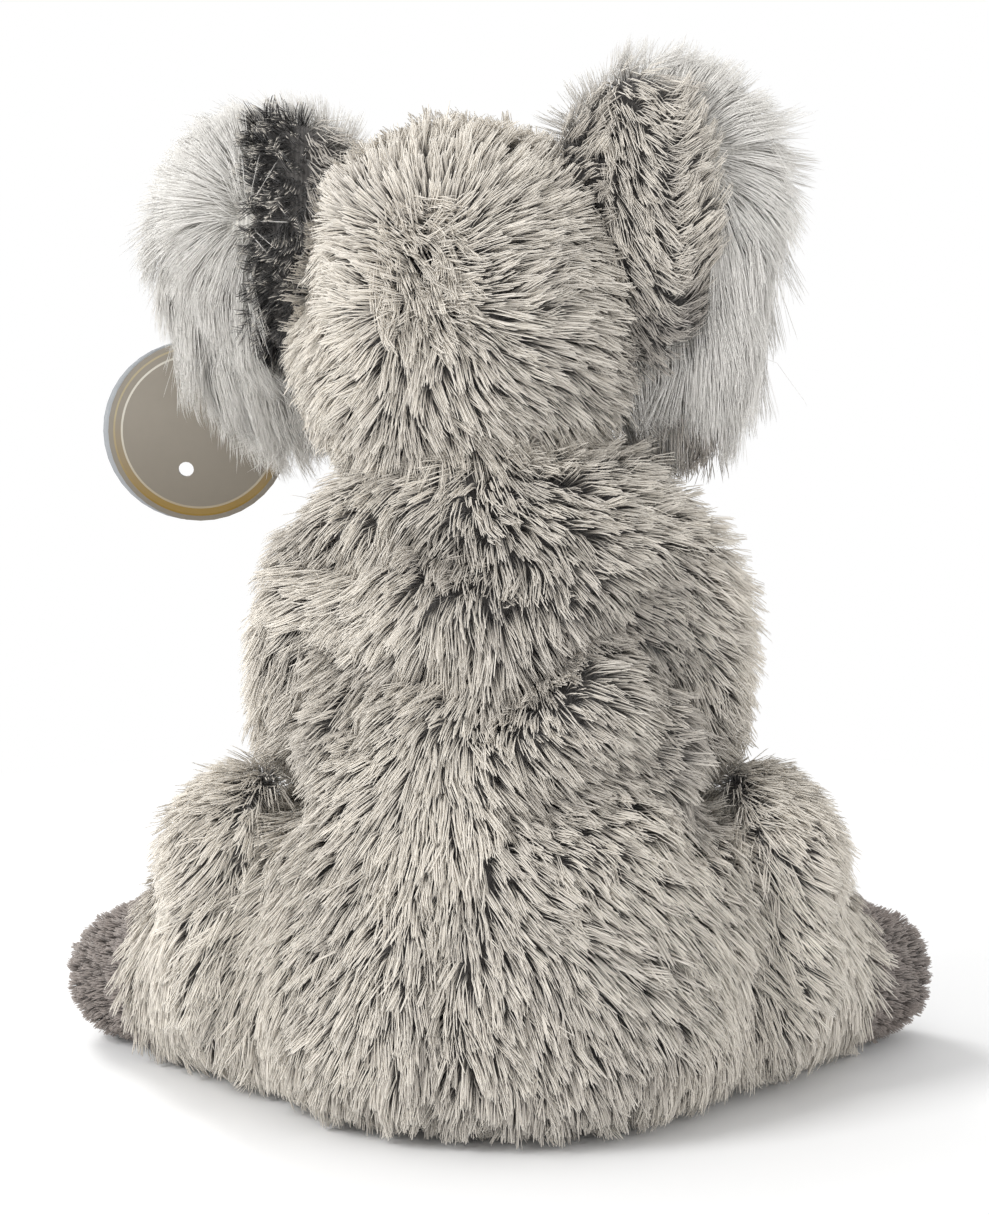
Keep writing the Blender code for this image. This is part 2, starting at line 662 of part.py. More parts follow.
def make_arm(word, side):
    """A grey sleeve with a taupe paw sewn on at the wrist, and one stuffing in each."""
    shoulder = empty_at(
        f"shoulder_axis_{word}",
        Matrix.Translation((side * ARM_PLANE, SHOULDER_BACK, SHOULDER_HEIGHT)),
    )
    home = shoulder.matrix_world.inverted()
    wrist = SHOULDER_BACK - WRIST_FORWARD

    def cutter(name, point, normal):
        return half_space(f"{name}_{word}", point, normal)

    def piece(name, bm, material):
        made = new_object(name, bm, material, shoulder)
        made.matrix_local = home
        return made

    inward = (-side, 0.0, 0.0)
    body = cutter("arm_body_cut", (side * (ARM_PLANE + GAP), 0.0, 0.0), inward)
    body_wall = cutter("arm_body_wall", (side * (ARM_PLANE + GAP + PLUSH / 2), 0.0, 0.0), inward)
    body_fill = cutter("arm_body_fill", (side * (ARM_PLANE + 2 * GAP + PLUSH / 2), 0.0, 0.0), inward)
    past_wrist = cutter("past_wrist", (0.0, wrist + GAP / 2, 0.0), (0.0, -1.0, 0.0))
    before_wrist = cutter("before_wrist", (0.0, wrist - GAP / 2, 0.0), (0.0, 1.0, 0.0))
    cavity = new_object(f"arm_cavity_{word}", arm_form(side, LIMB_CAVITY_SIDES, LIMB_CAVITY_RINGS, PLUSH))
    combine(cavity, body_wall)

    sleeve = piece(f"arm_{word}_cover", arm_form(side, LIMB_SIDES, LIMB_RINGS), GREY_PLUSH)
    paw = piece(f"paw_{word}", arm_form(side, LIMB_SIDES, LIMB_RINGS), TAUPE_PLUSH)
    for cover, wrong_side in ((sleeve, past_wrist), (paw, before_wrist)):
        combine(cover, body)
        combine(cover, cavity)
        combine(cover, wrong_side)
    fill = piece(
        f"arm_{word}_stuffing",
        arm_form(side, LIMB_CAVITY_SIDES, LIMB_CAVITY_RINGS, PLUSH + GAP),
        FIBRE,
    )
    combine(fill, body_fill)


def leg_form(side, sides, rings, inset=0.0):
    """Out from the hip and forward to the toes, resting on the floor all along."""
    outs = (
        (LEG_START_OUT, 0.0),
        ((LEG_START_OUT + THIGH_OUT) / 2, 0.0),
        (THIGH_OUT, 0.0),
        ((THIGH_OUT + KNEE_OUT) / 2, KNEE_FORWARD / 3),
        (KNEE_OUT, KNEE_FORWARD),
        (SHIN_OUT, SHIN_FORWARD),
        (FOOT_OUT, FOOT_FORWARD),
        ((FOOT_OUT + TOE_OUT) / 2, (FOOT_FORWARD + TOE_FORWARD) / 2),
        (TOE_OUT, TOE_FORWARD),
    )
    radii = [share * THIGH_RADIUS for share in LEG_RADIUS_SHARES]
    rises = [radius - FLAT_DEPTH for radius in radii]
    columns = (
        [side * out for out, _ in outs],
        [HIP_BACK - forward for _, forward in outs],
        rises,
    )

    def centre(level):
        return Vector(along(column, level) for column in columns)

    def section(level):
        across = mirrored(side, (math.cos(LEG_TURN_OUT), math.sin(LEG_TURN_OUT), 0.0))
        return across, Vector((0.0, 0.0, 1.0))

    return limb_form(centre, section, radii, sides, rings, inset)


def make_leg(word, side):
    """A grey trouser with a taupe foot sewn on at the ankle, and its stuffing."""
    hip = empty_at(f"hip_axis_{word}", Matrix.Translation((side * HIP_PLANE, HIP_BACK, HIP_HEIGHT)))
    home = hip.matrix_world.inverted()
    ankle = Vector((side * ANKLE_OUT, HIP_BACK - ANKLE_FORWARD, 0.0))
    toeward = mirrored(side, (math.sin(ANKLE_TURN_OUT), -math.cos(ANKLE_TURN_OUT), 0.0))

    def cutter(name, point, normal):
        return half_space(f"{name}_{word}", point, normal)

    def piece(name, bm, material):
        made = new_object(name, bm, material, hip)
        made.matrix_local = home
        return made

    inward = (-side, 0.0, 0.0)
    body = cutter("leg_body_cut", (side * (HIP_PLANE + GAP), 0.0, 0.0), inward)
    body_wall = cutter("leg_body_wall", (side * (HIP_PLANE + GAP + PLUSH), 0.0, 0.0), inward)
    body_fill = cutter("leg_body_fill", (side * (HIP_PLANE + 2 * GAP + PLUSH), 0.0, 0.0), inward)
    floor = cutter("leg_floor", (0.0, 0.0, 0.0), (0.0, 0.0, -1.0))
    past_ankle = cutter("past_ankle", ankle - toeward * (GAP / 2), toeward)
    before_ankle = cutter("before_ankle", ankle + toeward * (GAP / 2), -toeward)
    cavity = new_object(f"leg_cavity_{word}", leg_form(side, LIMB_CAVITY_SIDES, LIMB_CAVITY_RINGS, PLUSH))
    combine(cavity, body_wall)
    trouser = piece(f"leg_{word}_cover", leg_form(side, TORSO_SIDES, LIMB_RINGS), GREY_PLUSH)
    foot = piece(f"foot_{word}", leg_form(side, LIMB_SIDES, LIMB_RINGS), TAUPE_PLUSH)
    for cover, wrong_side in ((trouser, past_ankle), (foot, before_ankle)):
        combine(cover, body)
        combine(cover, floor)
        combine(cover, cavity)
        combine(cover, wrong_side)
    fill = piece(
        f"leg_{word}_stuffing",
        leg_form(side, LIMB_CAVITY_SIDES, LIMB_CAVITY_RINGS, PLUSH + GAP),
        FIBRE,
    )
    combine(fill, body_fill)


def tag_leaf(name, back, side_shift, parent):
    """A round card with a straight fold edge towards the head, standing in the X-Z plane."""
    drop = TAG_RADIUS * TAG_HANG_SHARE
    back_face = Vector((side_shift, back, -drop))
    front_face = Vector((side_shift, back - TAG_CARD, -drop))
    return new_object(name, rod(TAG_RADIUS, back_face, front_face), CARD, parent)


def make_tag(loop_point):
    """A folded round card: its back leaf hangs on the loop and its front leaf opens at the fold."""
    hang_point = loop_point - Vector((0.0, TAG_FORWARD, LOOP_HEIGHT))
    hang = empty_at("tag_axis", Matrix.Translation(hang_point))
    drop = TAG_RADIUS * TAG_HANG_SHARE
    fold = -TAG_RADIUS * TAG_FOLD_SHARE
    back_leaf = tag_leaf("tag_back_leaf", TAG_CARD + TAG_LEAF_GAP / 2, 0.0, hang)
    front_leaf = tag_leaf("tag_front_leaf", -TAG_LEAF_GAP / 2, TAG_LEAF_PEEK, hang)
    reach = 3 * TAG_RADIUS
    fold_cut = block("tag_fold_cut", (-reach, -reach, -reach), (fold, reach, reach), hang)
    through = Vector((0.0, OVERRUN, 0.0))
    hole = rod(TAG_HOLE_RADIUS, through, -through, LIMB_SIDES)
    hang_hole = new_object("tag_hang_hole", hole, parent=hang)
    punched = Vector((PUNCHED_HOLE_SIDE, 0.0, -drop - PUNCHED_HOLE_DROP))
    punched_hole = new_object(
        "tag_punched_hole",
        rod(PUNCHED_HOLE_RADIUS, punched + through, punched - through, LIMB_SIDES),
        parent=hang,
    )
    notch = new_object("leaf_notch", rod(LEAF_NOTCH_RADIUS, through, -through, LIMB_SIDES), parent=hang)
    notch_mouth = block(
        "leaf_notch_mouth",
        (-LEAF_NOTCH_RADIUS, -OVERRUN, 0.0),
        (LEAF_NOTCH_RADIUS, OVERRUN, TAG_RADIUS),
        hang,
    )
    for cutter in (fold_cut, hang_hole, punched_hole):
        combine(back_leaf, cutter)
    for cutter in (fold_cut, notch, notch_mouth, punched_hole):
        combine(front_leaf, cutter)


def loop_corner(centre, start):
    """A quarter turn of the loop in the Y-Z plane."""
    return [
        centre
        + Vector(
            (
                0.0,
                LOOP_CORNER * math.cos(start + step * math.pi / 2 / LOOP_CORNER_STEPS),
                LOOP_CORNER * math.sin(start + step * math.pi / 2 / LOOP_CORNER_STEPS),
            )
        )
        for step in range(LOOP_CORNER_STEPS + 1)
    ]


def make_loop(loop_point):
    """The clear plastic fastener: one thin closed loop through the ear and the card."""
    top, bottom = loop_point.z, loop_point.z - LOOP_HEIGHT
    points = []
    corners = (
        (1, top, 0.0),
        (-1, top, math.pi / 2),
        (-1, bottom, math.pi),
        (1, bottom, 3 * math.pi / 2),
    )
    for way, height, start in corners:
        inward = -1 if height == top else 1
        centre = Vector(
            (
                loop_point.x,
                loop_point.y - LOOP_FORWARD + way * (LOOP_HALF_LENGTH - LOOP_CORNER),
                height + inward * LOOP_CORNER,
            )
        )
        points += loop_corner(centre, start)
    curve = bpy.data.curves.new("tag_loop", "CURVE")
    curve.dimensions = "3D"
    curve.bevel_depth = LOOP_WIRE_RADIUS
    curve.bevel_resolution = 1
    spline = curve.splines.new("POLY")
    spline.points.add(len(points) - 1)
    for slot, point in zip(spline.points, points):
        slot.co = (*point, 1.0)
    spline.use_cyclic_u = True
    curve.materials.append(CLEAR_PLASTIC)
    loop = bpy.data.objects.new("tag_loop", curve)
    PARTS.objects.link(loop)


HEAD = empty_at("head_axis", HEAD_FRAME)
make_torso()
make_head(HEAD)
LOOP_POINT = make_ears(HEAD)
for WORD, SIDE in SIDES:
    make_arm(WORD, SIDE)
    make_leg(WORD, SIDE)
make_tag(LOOP_POINT)
make_loop(LOOP_POINT)
# The places that the record's joints use
print("neck axis", [round(c, 5) for c in NECK_AXIS], "neck point", [round(c, 5) for c in NECK_POINT])
for WORD, SIDE in SIDES:
    HINGE = HEAD_FRAME @ Vector((SIDE * EAR_HINGE_OUT, EAR_BACK, EAR_RISE))
    print("ear hinge", WORD, [round(c, 5) for c in HINGE])
print("loop point", [round(c, 5) for c in LOOP_POINT])
TAG_POINT = LOOP_POINT - Vector((TAG_RADIUS * TAG_FOLD_SHARE, TAG_FORWARD, LOOP_HEIGHT))
print("tag fold", [round(c, 5) for c in TAG_POINT - Vector((0.0, 0.0, TAG_RADIUS * TAG_HANG_SHARE))])
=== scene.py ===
"""Looks of a seated plush koala: fur, face, feet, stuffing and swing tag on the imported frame."""

import json
import math

import bmesh
import bpy
import numpy as np
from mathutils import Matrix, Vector
from mathutils.bvhtree import BVHTree
from mathutils.kdtree import KDTree


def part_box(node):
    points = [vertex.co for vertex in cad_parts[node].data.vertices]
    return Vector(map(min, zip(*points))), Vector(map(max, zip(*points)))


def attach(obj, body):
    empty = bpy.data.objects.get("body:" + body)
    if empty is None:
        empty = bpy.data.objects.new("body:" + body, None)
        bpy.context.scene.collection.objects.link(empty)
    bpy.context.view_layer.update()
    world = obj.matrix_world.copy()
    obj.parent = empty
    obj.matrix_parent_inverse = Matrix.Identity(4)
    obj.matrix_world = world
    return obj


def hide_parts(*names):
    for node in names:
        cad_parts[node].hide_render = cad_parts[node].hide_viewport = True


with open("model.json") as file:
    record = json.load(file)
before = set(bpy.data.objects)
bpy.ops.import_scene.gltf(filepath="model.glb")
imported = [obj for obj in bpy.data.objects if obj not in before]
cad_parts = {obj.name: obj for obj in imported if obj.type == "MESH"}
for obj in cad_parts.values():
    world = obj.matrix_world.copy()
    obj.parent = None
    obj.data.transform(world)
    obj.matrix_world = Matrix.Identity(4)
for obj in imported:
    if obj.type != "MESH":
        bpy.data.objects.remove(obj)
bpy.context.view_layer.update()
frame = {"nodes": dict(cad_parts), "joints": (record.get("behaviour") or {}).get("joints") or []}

scene = bpy.context.scene
scene.view_settings.view_transform = "Standard"


# The photographer's place: a camera behind and a little above the koala, and a round white table.
# A soft key lamp stands at the koala's left, a weaker one at its right and a third in front of it.
LOOK_AT = Vector((0.0012, 0.0, 0.1038))
CAMERA_DISTANCE = 0.90
CAMERA_PITCH = math.radians(12.0)
FRAME_HALF_HEIGHT = 0.1276
SENSOR_HEIGHT = 24.0
TABLE_RADIUS = 4.0
SHADOW_REACH = 0.11  # within this the table keeps its shadows
WHITE_REACH = 0.30  # and from here on it is white in the picture
ROOM_LIGHT = 0.86
LAMPS = {  # place, size and power
    "key_lamp": ((0.82, 0.60, 0.84), 0.5, 10.3),
    "fill_lamp": ((-0.8, 0.7, 0.45), 0.8, 2.6),
    "front_lamp": ((0.55, -0.85, 0.75), 0.4, 7.5),
}


class Wire:
    """One output of a shader node, so that shader maths reads as Python expressions."""

    def __init__(self, mix, socket):
        self.mix, self.socket = mix, socket

    def __add__(self, other):
        return self.mix.sum("ADD", self, other)

    def __sub__(self, other):
        return self.mix.sum("SUBTRACT", self, other)

    def __rsub__(self, other):
        return self.mix.sum("SUBTRACT", other, self)

    def __mul__(self, other):
        return self.mix.sum("MULTIPLY", self, other)

    def __gt__(self, other):
        return self.mix.sum("GREATER_THAN", self, other)

    __radd__, __rmul__ = __add__, __mul__


class Finish:
    """A material's nodes around its one shader."""

    def __init__(self, name, **constants):
        self.material = bpy.data.materials.new(name)
        self.material.use_nodes = True
        self.nodes = self.material.node_tree.nodes
        self.links = self.material.node_tree.links
        self.shader = self.nodes["Principled BSDF"]
        for label, value in constants.items():
            self.shader.inputs[label.replace("_", " ")].default_value = value

    def plug(self, socket, value):
        if isinstance(value, Wire):
            self.links.new(value.socket, socket)
        else:
            socket.default_value = value

    def add(self, kind, settings=None, inputs=None, output=0):
        node = self.nodes.new(kind)
        for label, value in (settings or {}).items():
            if label == "stops":
                ramp = node.color_ramp
                for place, shade in value[1:-1]:
                    ramp.elements.new(place).color = (*shade, 1.0)
                ramp.elements[0].position, ramp.elements[0].color = value[0][0], (*value[0][1], 1.0)
                ramp.elements[-1].position, ramp.elements[-1].color = value[-1][0], (*value[-1][1], 1.0)
            else:
                setattr(node, label, value)
        for label, value in (inputs or {}).items():
            self.plug(node.inputs[label], value)
        return Wire(self, node.outputs[output])

    def sum(self, operation, first, second):
        return self.add("ShaderNodeMath", {"operation": operation}, {0: first, 1: second})

    def blend(self, factor, first, second):
        """Between two colours, each a wire or three numbers."""
        first, second = ((*c, 1.0) if isinstance(c, tuple) else c for c in (first, second))
        settings = {"data_type": "RGBA"}
        return self.add("ShaderNodeMix", settings, {0: factor, 6: first, 7: second}, output=2)

    def noise(self, scale, detail=2.0, vector=None):
        inputs = {"Scale": scale, "Detail": detail}
        if vector:
            inputs["Vector"] = vector
        return self.add("ShaderNodeTexNoise", None, inputs)

    def place(self):
        """The point on the piece, in metres."""
        return self.add("ShaderNodeTexCoord", output=3)

    def give(self, label, value):
        self.plug(self.shader.inputs[label], value)

    def mottle(self, pattern, dark, pale):
        self.give("Base Color", self.blend(pattern, dark, pale))

    def bump(self, height, strength, distance):
        inputs = {"Height": height, "Strength": strength, "Distance": distance}
        self.give("Normal", self.add("ShaderNodeBump", None, inputs))


def new_piece(name, data):
    piece = bpy.data.objects.new(name, data)
    scene.collection.objects.link(piece)
    return piece


def stand_camera():
    camera = new_piece("camera", bpy.data.cameras.new("camera"))
    back = Vector((0.0, math.cos(CAMERA_PITCH), math.sin(CAMERA_PITCH)))
    camera.location = LOOK_AT + back * CAMERA_DISTANCE
    camera.rotation_euler = back.to_track_quat("Z", "Y").to_euler()
    camera.data.sensor_fit = "VERTICAL"
    camera.data.sensor_height = SENSOR_HEIGHT
    camera.data.lens = SENSOR_HEIGHT / 2 * CAMERA_DISTANCE / FRAME_HALF_HEIGHT
    scene.camera = camera


def lay_table():
    """A round white sheet that reads as white where no shadow falls."""
    bm = bmesh.new()
    bmesh.ops.create_circle(bm, cap_ends=True, segments=64, radius=TABLE_RADIUS)
    mesh = bpy.data.meshes.new("table")
    bm.to_mesh(mesh)
    bm.free()
    table = new_piece("table", mesh)
    white = Finish("white_table", Base_Color=(0.86, 0.86, 0.86, 1.0))
    seen = white.add("ShaderNodeLightPath")
    grain = white.noise(900.0, 2.0, white.place())
    white.give("Roughness", 0.85 + 0.1 * grain)
    glow = white.add("ShaderNodeEmission", None, {"Color": (1.0, 1.0, 1.0, 1.0), "Strength": 1.0})
    far = white.add("ShaderNodeVectorMath", {"operation": "LENGTH"}, {0: white.place()}, output=1)
    spread = {"Value": far, "From Min": SHADOW_REACH, "From Max": WHITE_REACH}
    share = white.add("ShaderNodeMapRange", {"clamp": True}, spread)
    lit = Wire(white, white.shader.outputs[0])
    both = white.add("ShaderNodeMixShader", None, {0: seen * share, 1: lit, 2: glow})
    white.plug(white.nodes["Material Output"].inputs["Surface"], both)
    mesh.materials.append(white.material)


def light_room():
    """Even light from all round, which reads as white where the camera sees it, and three lamps."""
    world = bpy.data.worlds.new("room")
    world.use_nodes = True
    nodes, links = world.node_tree.nodes, world.node_tree.links
    nodes["Background"].inputs["Color"].default_value = (1.0, 1.0, 1.0, 1.0)
    seen, strength = nodes.new("ShaderNodeLightPath"), nodes.new("ShaderNodeMapRange")
    strength.inputs["To Min"].default_value = ROOM_LIGHT
    links.new(seen.outputs["Is Camera Ray"], strength.inputs["Value"])
    links.new(strength.outputs[0], nodes["Background"].inputs["Strength"])
    scene.world = world
    for name, (place, size, power) in LAMPS.items():
        lamp = new_piece(name, bpy.data.lights.new(name, "AREA"))
        lamp.location = place
        lamp.rotation_euler = (Vector(place) - LOOK_AT).to_track_quat("Z", "Y").to_euler()
        lamp.data.size = size
        lamp.data.energy = power


stand_camera()
lay_table()
light_room()


# Sewn bodies: each cover is woven plush backing over polyester fibre, and bulges where it's stuffed.
# A body's covers and stuffing are melted into one closed skin, which lies under the pile.
VOXEL = 0.0030
SKIN_SMOOTHING = 4
PILE_DEPTH = 0.0035  # from the face of the CAD's cover in to the backing
EYE_RIM, NOSE_RIM = (0.006, 0.016), (0.010, 0.024)  # the backing rises to the eyes and the nose
END_SEAM = 0.004
END_FULL = 0.65
THIGH_FULL, THIGH_TOP = 0.0085, (0.040, 0.052)
CHEEK_DRAWN, CHEEK_SIDE, CHEEK_RISE, CHEEK_REAR = 0.0056, (0.030, 0.044), (0.155, 0.170), (-0.018, -0.006)
WAIST_FULL = {"left": 0.0060, "right": 0.0055}
WAIST_HEIGHT, WAIST_REACH, WAIST_SIDE = 0.080, 0.011, (0.024, 0.040)
ARM_SAG, SAG_RISE = {"arm_left": 0.0085, "arm_right": 0.0095}, (0.106, 0.080)
LYING = 0.0004
COVERS = {
    "torso": ("back_cover_left", "back_cover_right", "belly_cover"),
    "head": ("head_cover_left", "head_cover_right", "muzzle_cover"),
    "arm_left": ("arm_left_cover", "paw_left"),
    "arm_right": ("arm_right_cover", "paw_right"),
    "leg_left": ("leg_left_cover", "foot_left"),
    "leg_right": ("leg_right_cover", "foot_right"),
}
STUFFING = {body: f"{body}_stuffing" for body in COVERS}


def fit(piece, body, slot, *nodes):
    """A piece rides on its body in place of the CAD nodes that it stands for."""
    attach(piece, body)
    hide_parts(*nodes)


def settled(piece):
    """The piece with its modifiers taken up into its mesh."""
    bpy.context.view_layer.update()
    mesh = bpy.data.meshes.new_from_object(piece.evaluated_get(bpy.context.evaluated_depsgraph_get()))
    piece.modifiers.clear()
    piece.data = mesh
    mesh.name = piece.name
    return piece


def melt(name, nodes, voxel, smoothing):
    """One closed mesh round several CAD nodes."""
    bm = bmesh.new()
    for node in nodes:
        bm.from_mesh(frame["nodes"][node].data)
    mesh = bpy.data.meshes.new(name)
    bm.to_mesh(mesh)
    bm.free()
    piece = new_piece(name, mesh)
    remesh = piece.modifiers.new("melt", "REMESH")
    remesh.mode = "VOXEL"
    remesh.voxel_size = voxel
    even = piece.modifiers.new("even", "SMOOTH")
    even.factor = 0.5
    even.iterations = smoothing
    return settled(piece)


def rows_of(collection, label):
    values = np.empty(len(collection) * 3)
    collection.foreach_get(label, values)
    return values.reshape(-1, 3)


def points_of(mesh):
    return rows_of(mesh.vertices, "co")


def normals_of(mesh):
    return rows_of(mesh.vertex_normals, "vector")


def set_points(mesh, points):
    mesh.vertices.foreach_set("co", points.ravel())
    mesh.update()


def surface_of(mesh):
    return BVHTree.FromPolygons([v.co for v in mesh.vertices], [p.vertices for p in mesh.polygons])


def tree_of(points):
    tree = KDTree(len(points))
    for i, point in enumerate(points):
        tree.insert(point, i)
    tree.balance()
    return tree


def far_from(points, place):
    return np.linalg.norm(points - place, axis=1)


def middle_of(node):
    return np.array(sum(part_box(node), Vector()) / 2)


def unit(vectors):
    return vectors / np.maximum(np.linalg.norm(vectors, axis=1, keepdims=True), 1e-9)


def smooth_step(low, high, value):
    t = np.clip((value - low) / (high - low), 0.0, 1.0)
    return t * t * (3.0 - 2.0 * t)


EYES = [middle_of(f"eye_{side}") for side in ("left", "right")]
NOSE = middle_of("nose")

FILLET_STEPS = 14
FILLET_REACH = (0.006, 0.012)
NECK_REACH, NECK_BARE = (0.0006, 0.0050), (0.0002, 0.0016)

# Folds in the cloth of the back, where it sags between the stuffing: ends as (x, z), half width, depth
FOLDS = (
    ((0.0185, 0.1248), (0.0110, 0.1215), 0.0050, 0.0045),
    ((0.0500, 0.1175), (0.0330, 0.1185), 0.0045, 0.0055),
    ((0.0430, 0.0965), (0.0126, 0.0985), 0.0055, 0.0060),
    ((0.0000, 0.0920), (-0.0300, 0.1130), 0.0050, 0.0052),
    ((-0.0300, 0.1010), (-0.0430, 0.0830), 0.0055, 0.0062),
    ((-0.0390, 0.0690), (-0.0410, 0.0650), 0.0050, 0.0060),
    ((0.0470, 0.0740), (0.0330, 0.0860), 0.0055, 0.0060),
    ((-0.0060, 0.0720), (-0.0400, 0.0810), 0.0065, 0.0060),
    ((0.0142, 0.0520), (0.0142, 0.0060), 0.0032, 0.0036),
)


def fold_depth(points):
    """How deep the folds of the back draw each point in."""
    plane = points[:, (0, 2)]
    depth = np.zeros(len(points))
    for start, end, reach, sink in FOLDS:
        start, end = np.array(start), np.array(end)
        run = end - start
        share = np.clip((plane - start) @ run / (run @ run), 0.0, 1.0)
        far = np.linalg.norm(plane - start - share[:, None] * run, axis=1)
        depth += sink * (1.0 - smooth_step(0.0, 2.0 * reach, far))
    return depth


def beside(surface, points):
    """The nearest place on a surface to each point, the way it faces, and how far out the point is."""
    found = [surface.find_nearest(Vector(point)) for point in points]
    places = np.array([near for near, _, _, _ in found])
    facing = np.array([way for _, way, _, _ in found])
    out = ((points - places) * facing).sum(axis=1)
    return places, facing, np.sign(out) * np.array([far for _, _, _, far in found])


def cover_distances(points, covers):
    surfaces = [surface_of(frame["nodes"][cover].data) for cover in covers]
    return np.array([[surface.find_nearest(Vector(point))[3] for point in points] for surface in surfaces])


# The trunk is the torso with its limbs, whose joins the stuffing and the pile round off
trunk_nodes = [node for body, covers in COVERS.items() if body != "head" for node in (*covers, STUFFING[body])]
trunk = melt("trunk", trunk_nodes, VOXEL, FILLET_STEPS)
trunk_surface, trunk_tree = surface_of(trunk.data), tree_of(points_of(trunk.data))
trunk_ways = normals_of(trunk.data)
bpy.data.objects.remove(trunk)

skins, outsides, bared = {}, {}, {}
for body, covers in COVERS.items():
    skins[body] = melt(f"{body}_skin", (*covers, STUFFING[body]), VOXEL, SKIN_SMOOTHING)
    outsides[body] = surface_of(skins[body].data)
for body, skin in skins.items():
    points, ways = points_of(skin.data), normals_of(skin.data)
    depth, bare, apart = (np.full(len(points), value) for value in (PILE_DEPTH, 1.0, 1.0))
    if body == "head":
        for eye in EYES:
            depth *= 0.15 + 0.85 * smooth_step(*EYE_RIM, far_from(points, eye))
        depth *= 0.2 + 0.8 * smooth_step(*NOSE_RIM, far_from(points, NOSE))
        rear = smooth_step(*CHEEK_REAR, points[:, 1])
        cheek = CHEEK_DRAWN * smooth_step(*CHEEK_SIDE, points[:, 0]) * smooth_step(*CHEEK_RISE, points[:, 2])
        depth += cheek * rear
        apart = beside(outsides["torso"], points)[2]
    else:
        places, _, out = beside(trunk_surface, points)
        bare = 1.0 - smooth_step(*FILLET_REACH, -out)
        end = np.zeros(len(points))
        if body != "torso":
            sleeve_far, end_far = cover_distances(points, COVERS[body])
            end = smooth_step(-END_SEAM, END_SEAM, sleeve_far - end_far)
        round_ways = np.array([trunk_ways[trunk_tree.find(place)[1]] for place in places])
        blend = (bare * (1.0 - end))[:, None]
        points = points + (places - points) * blend
        ways = unit(ways * (1.0 - blend) + round_ways * blend)
        depth = (depth + fold_depth(points) * smooth_step(0.1, 0.5, ways[:, 1])) * bare
        depth *= 1.0 - END_FULL * end
    x, y, z = points.T
    if body.startswith("leg"):
        depth -= THIGH_FULL * smooth_step(0.2, 0.8, ways[:, 2]) * smooth_step(*THIGH_TOP, z) * bare
    if body == "torso":
        apart = beside(outsides["head"], points)[2]
    depth *= smooth_step(*NECK_REACH, apart)
    if body == "torso":
        waist = np.exp(-((z - WAIST_HEIGHT) ** 2) / WAIST_REACH**2) * smooth_step(*WAIST_SIDE, np.abs(x))
        depth -= waist * np.where(x > 0.0, WAIST_FULL["left"], WAIST_FULL["right"]) * np.abs(ways[:, 0])
    points = points - ways * depth[:, None]
    if body in ARM_SAG:
        points[:, 2] -= ARM_SAG[body] * smooth_step(*SAG_RISE, points[:, 2])
    points[:, 2] = np.maximum(points[:, 2], LYING)
    set_points(skin.data, points)
    skin.data.shade_smooth()
    bared[body] = bare * smooth_step(*NECK_BARE, apart)


def backing_finish(name, colour):
    """Knitted backing cloth: rows of loops a millimetre apart."""
    cloth = Finish(name, Roughness=0.95, Sheen_Weight=0.2)
    place = cloth.place()
    rows = cloth.add("ShaderNodeTexWave", None, {"Vector": place, "Scale": 320.0, "Distortion": 1.5})
    patches = cloth.noise(120.0, 3.0, place)
    cloth.mottle(0.4 * patches + 0.6 * rows, *(tuple(c * share for c in colour) for share in (0.7, 1.3)))
    cloth.bump(rows, 0.4, 0.0003)
    return cloth.material


GREY_BACKING = backing_finish("grey_backing", (0.090, 0.084, 0.080))
TAUPE_BACKING = backing_finish("taupe_backing", (0.110, 0.093, 0.084))
WHITE_BACKING = backing_finish("white_backing", (0.60, 0.58, 0.54))


def nearest_cover(points, covers):
    """Which of the covers each point is nearest to."""
    return cover_distances(points, covers).argmin(axis=0)


def back_with(skin, finishes, choice):
    """Puts each face of a skin in its own backing."""
    skin.data.materials.clear()
    for finish in finishes:
        skin.data.materials.append(finish)
    skin.data.polygons.foreach_set("material_index", choice)
    skin.data.shade_smooth()


for body, skin in skins.items():
    choice = nearest_cover(rows_of(skin.data.polygons, "center"), COVERS[body])
    limb = body not in ("torso", "head")
    back_with(skin, (GREY_BACKING, TAUPE_BACKING) if limb else (GREY_BACKING,), choice if limb else choice * 0)
    fit(skin, body, "grey_plush", *COVERS[body])


# Plush pile: dark-rooted fibres with pale tips, set in the backing and lying over one another in locks.
# Each fibre is a thin closed three-sided blade that bends over from its root.
SEED = 20
FIBRES_A_PIECE = 12000  # fibres in each piece of fur; few enough for one piece of the exported model
CHARCOAL_ROOT = (0.088, 0.081, 0.076)
GREY_BAND = (0.34, 0.312, 0.285)
DARK_TIP = (0.44, 0.405, 0.365)
CREAM_TIP = (0.80, 0.75, 0.67)
WHITE_ROOT = (0.60, 0.58, 0.54)
WHITE_TIP = (0.82, 0.80, 0.765)
TAUPE_ROOT = (0.105, 0.088, 0.080)
TAUPE_TIP = (0.300, 0.258, 0.233)
TAUPE_PALE = (0.370, 0.322, 0.292)
BLACK_ROOT = (0.014, 0.013, 0.013)
BLACK_TIP = (0.055, 0.052, 0.050)
BLUNT = 0.94  # the share of a fibre up to its last ring
FLATNESS = 0.6  # a fibre's depth over its width
BEND_ALONG, BEND_RISE, BEND_LEAST, BEND_PULL = 0.20, 0.75, 0.12, 0.15
PULL_LIMITS = (0.3, 1.3)
CHART_EDGE, TONE_SHARE, SIDE_SHARE = 0.01, 0.96, 0.02
ROOT_SUNK, ROOT_LOW, SPINE_LOW, BLADE_LOW = 0.0004, 0.0012, 0.0007, 0.0002
LEAST_LIFT, MOST_LIFT = 0.06, 1.45
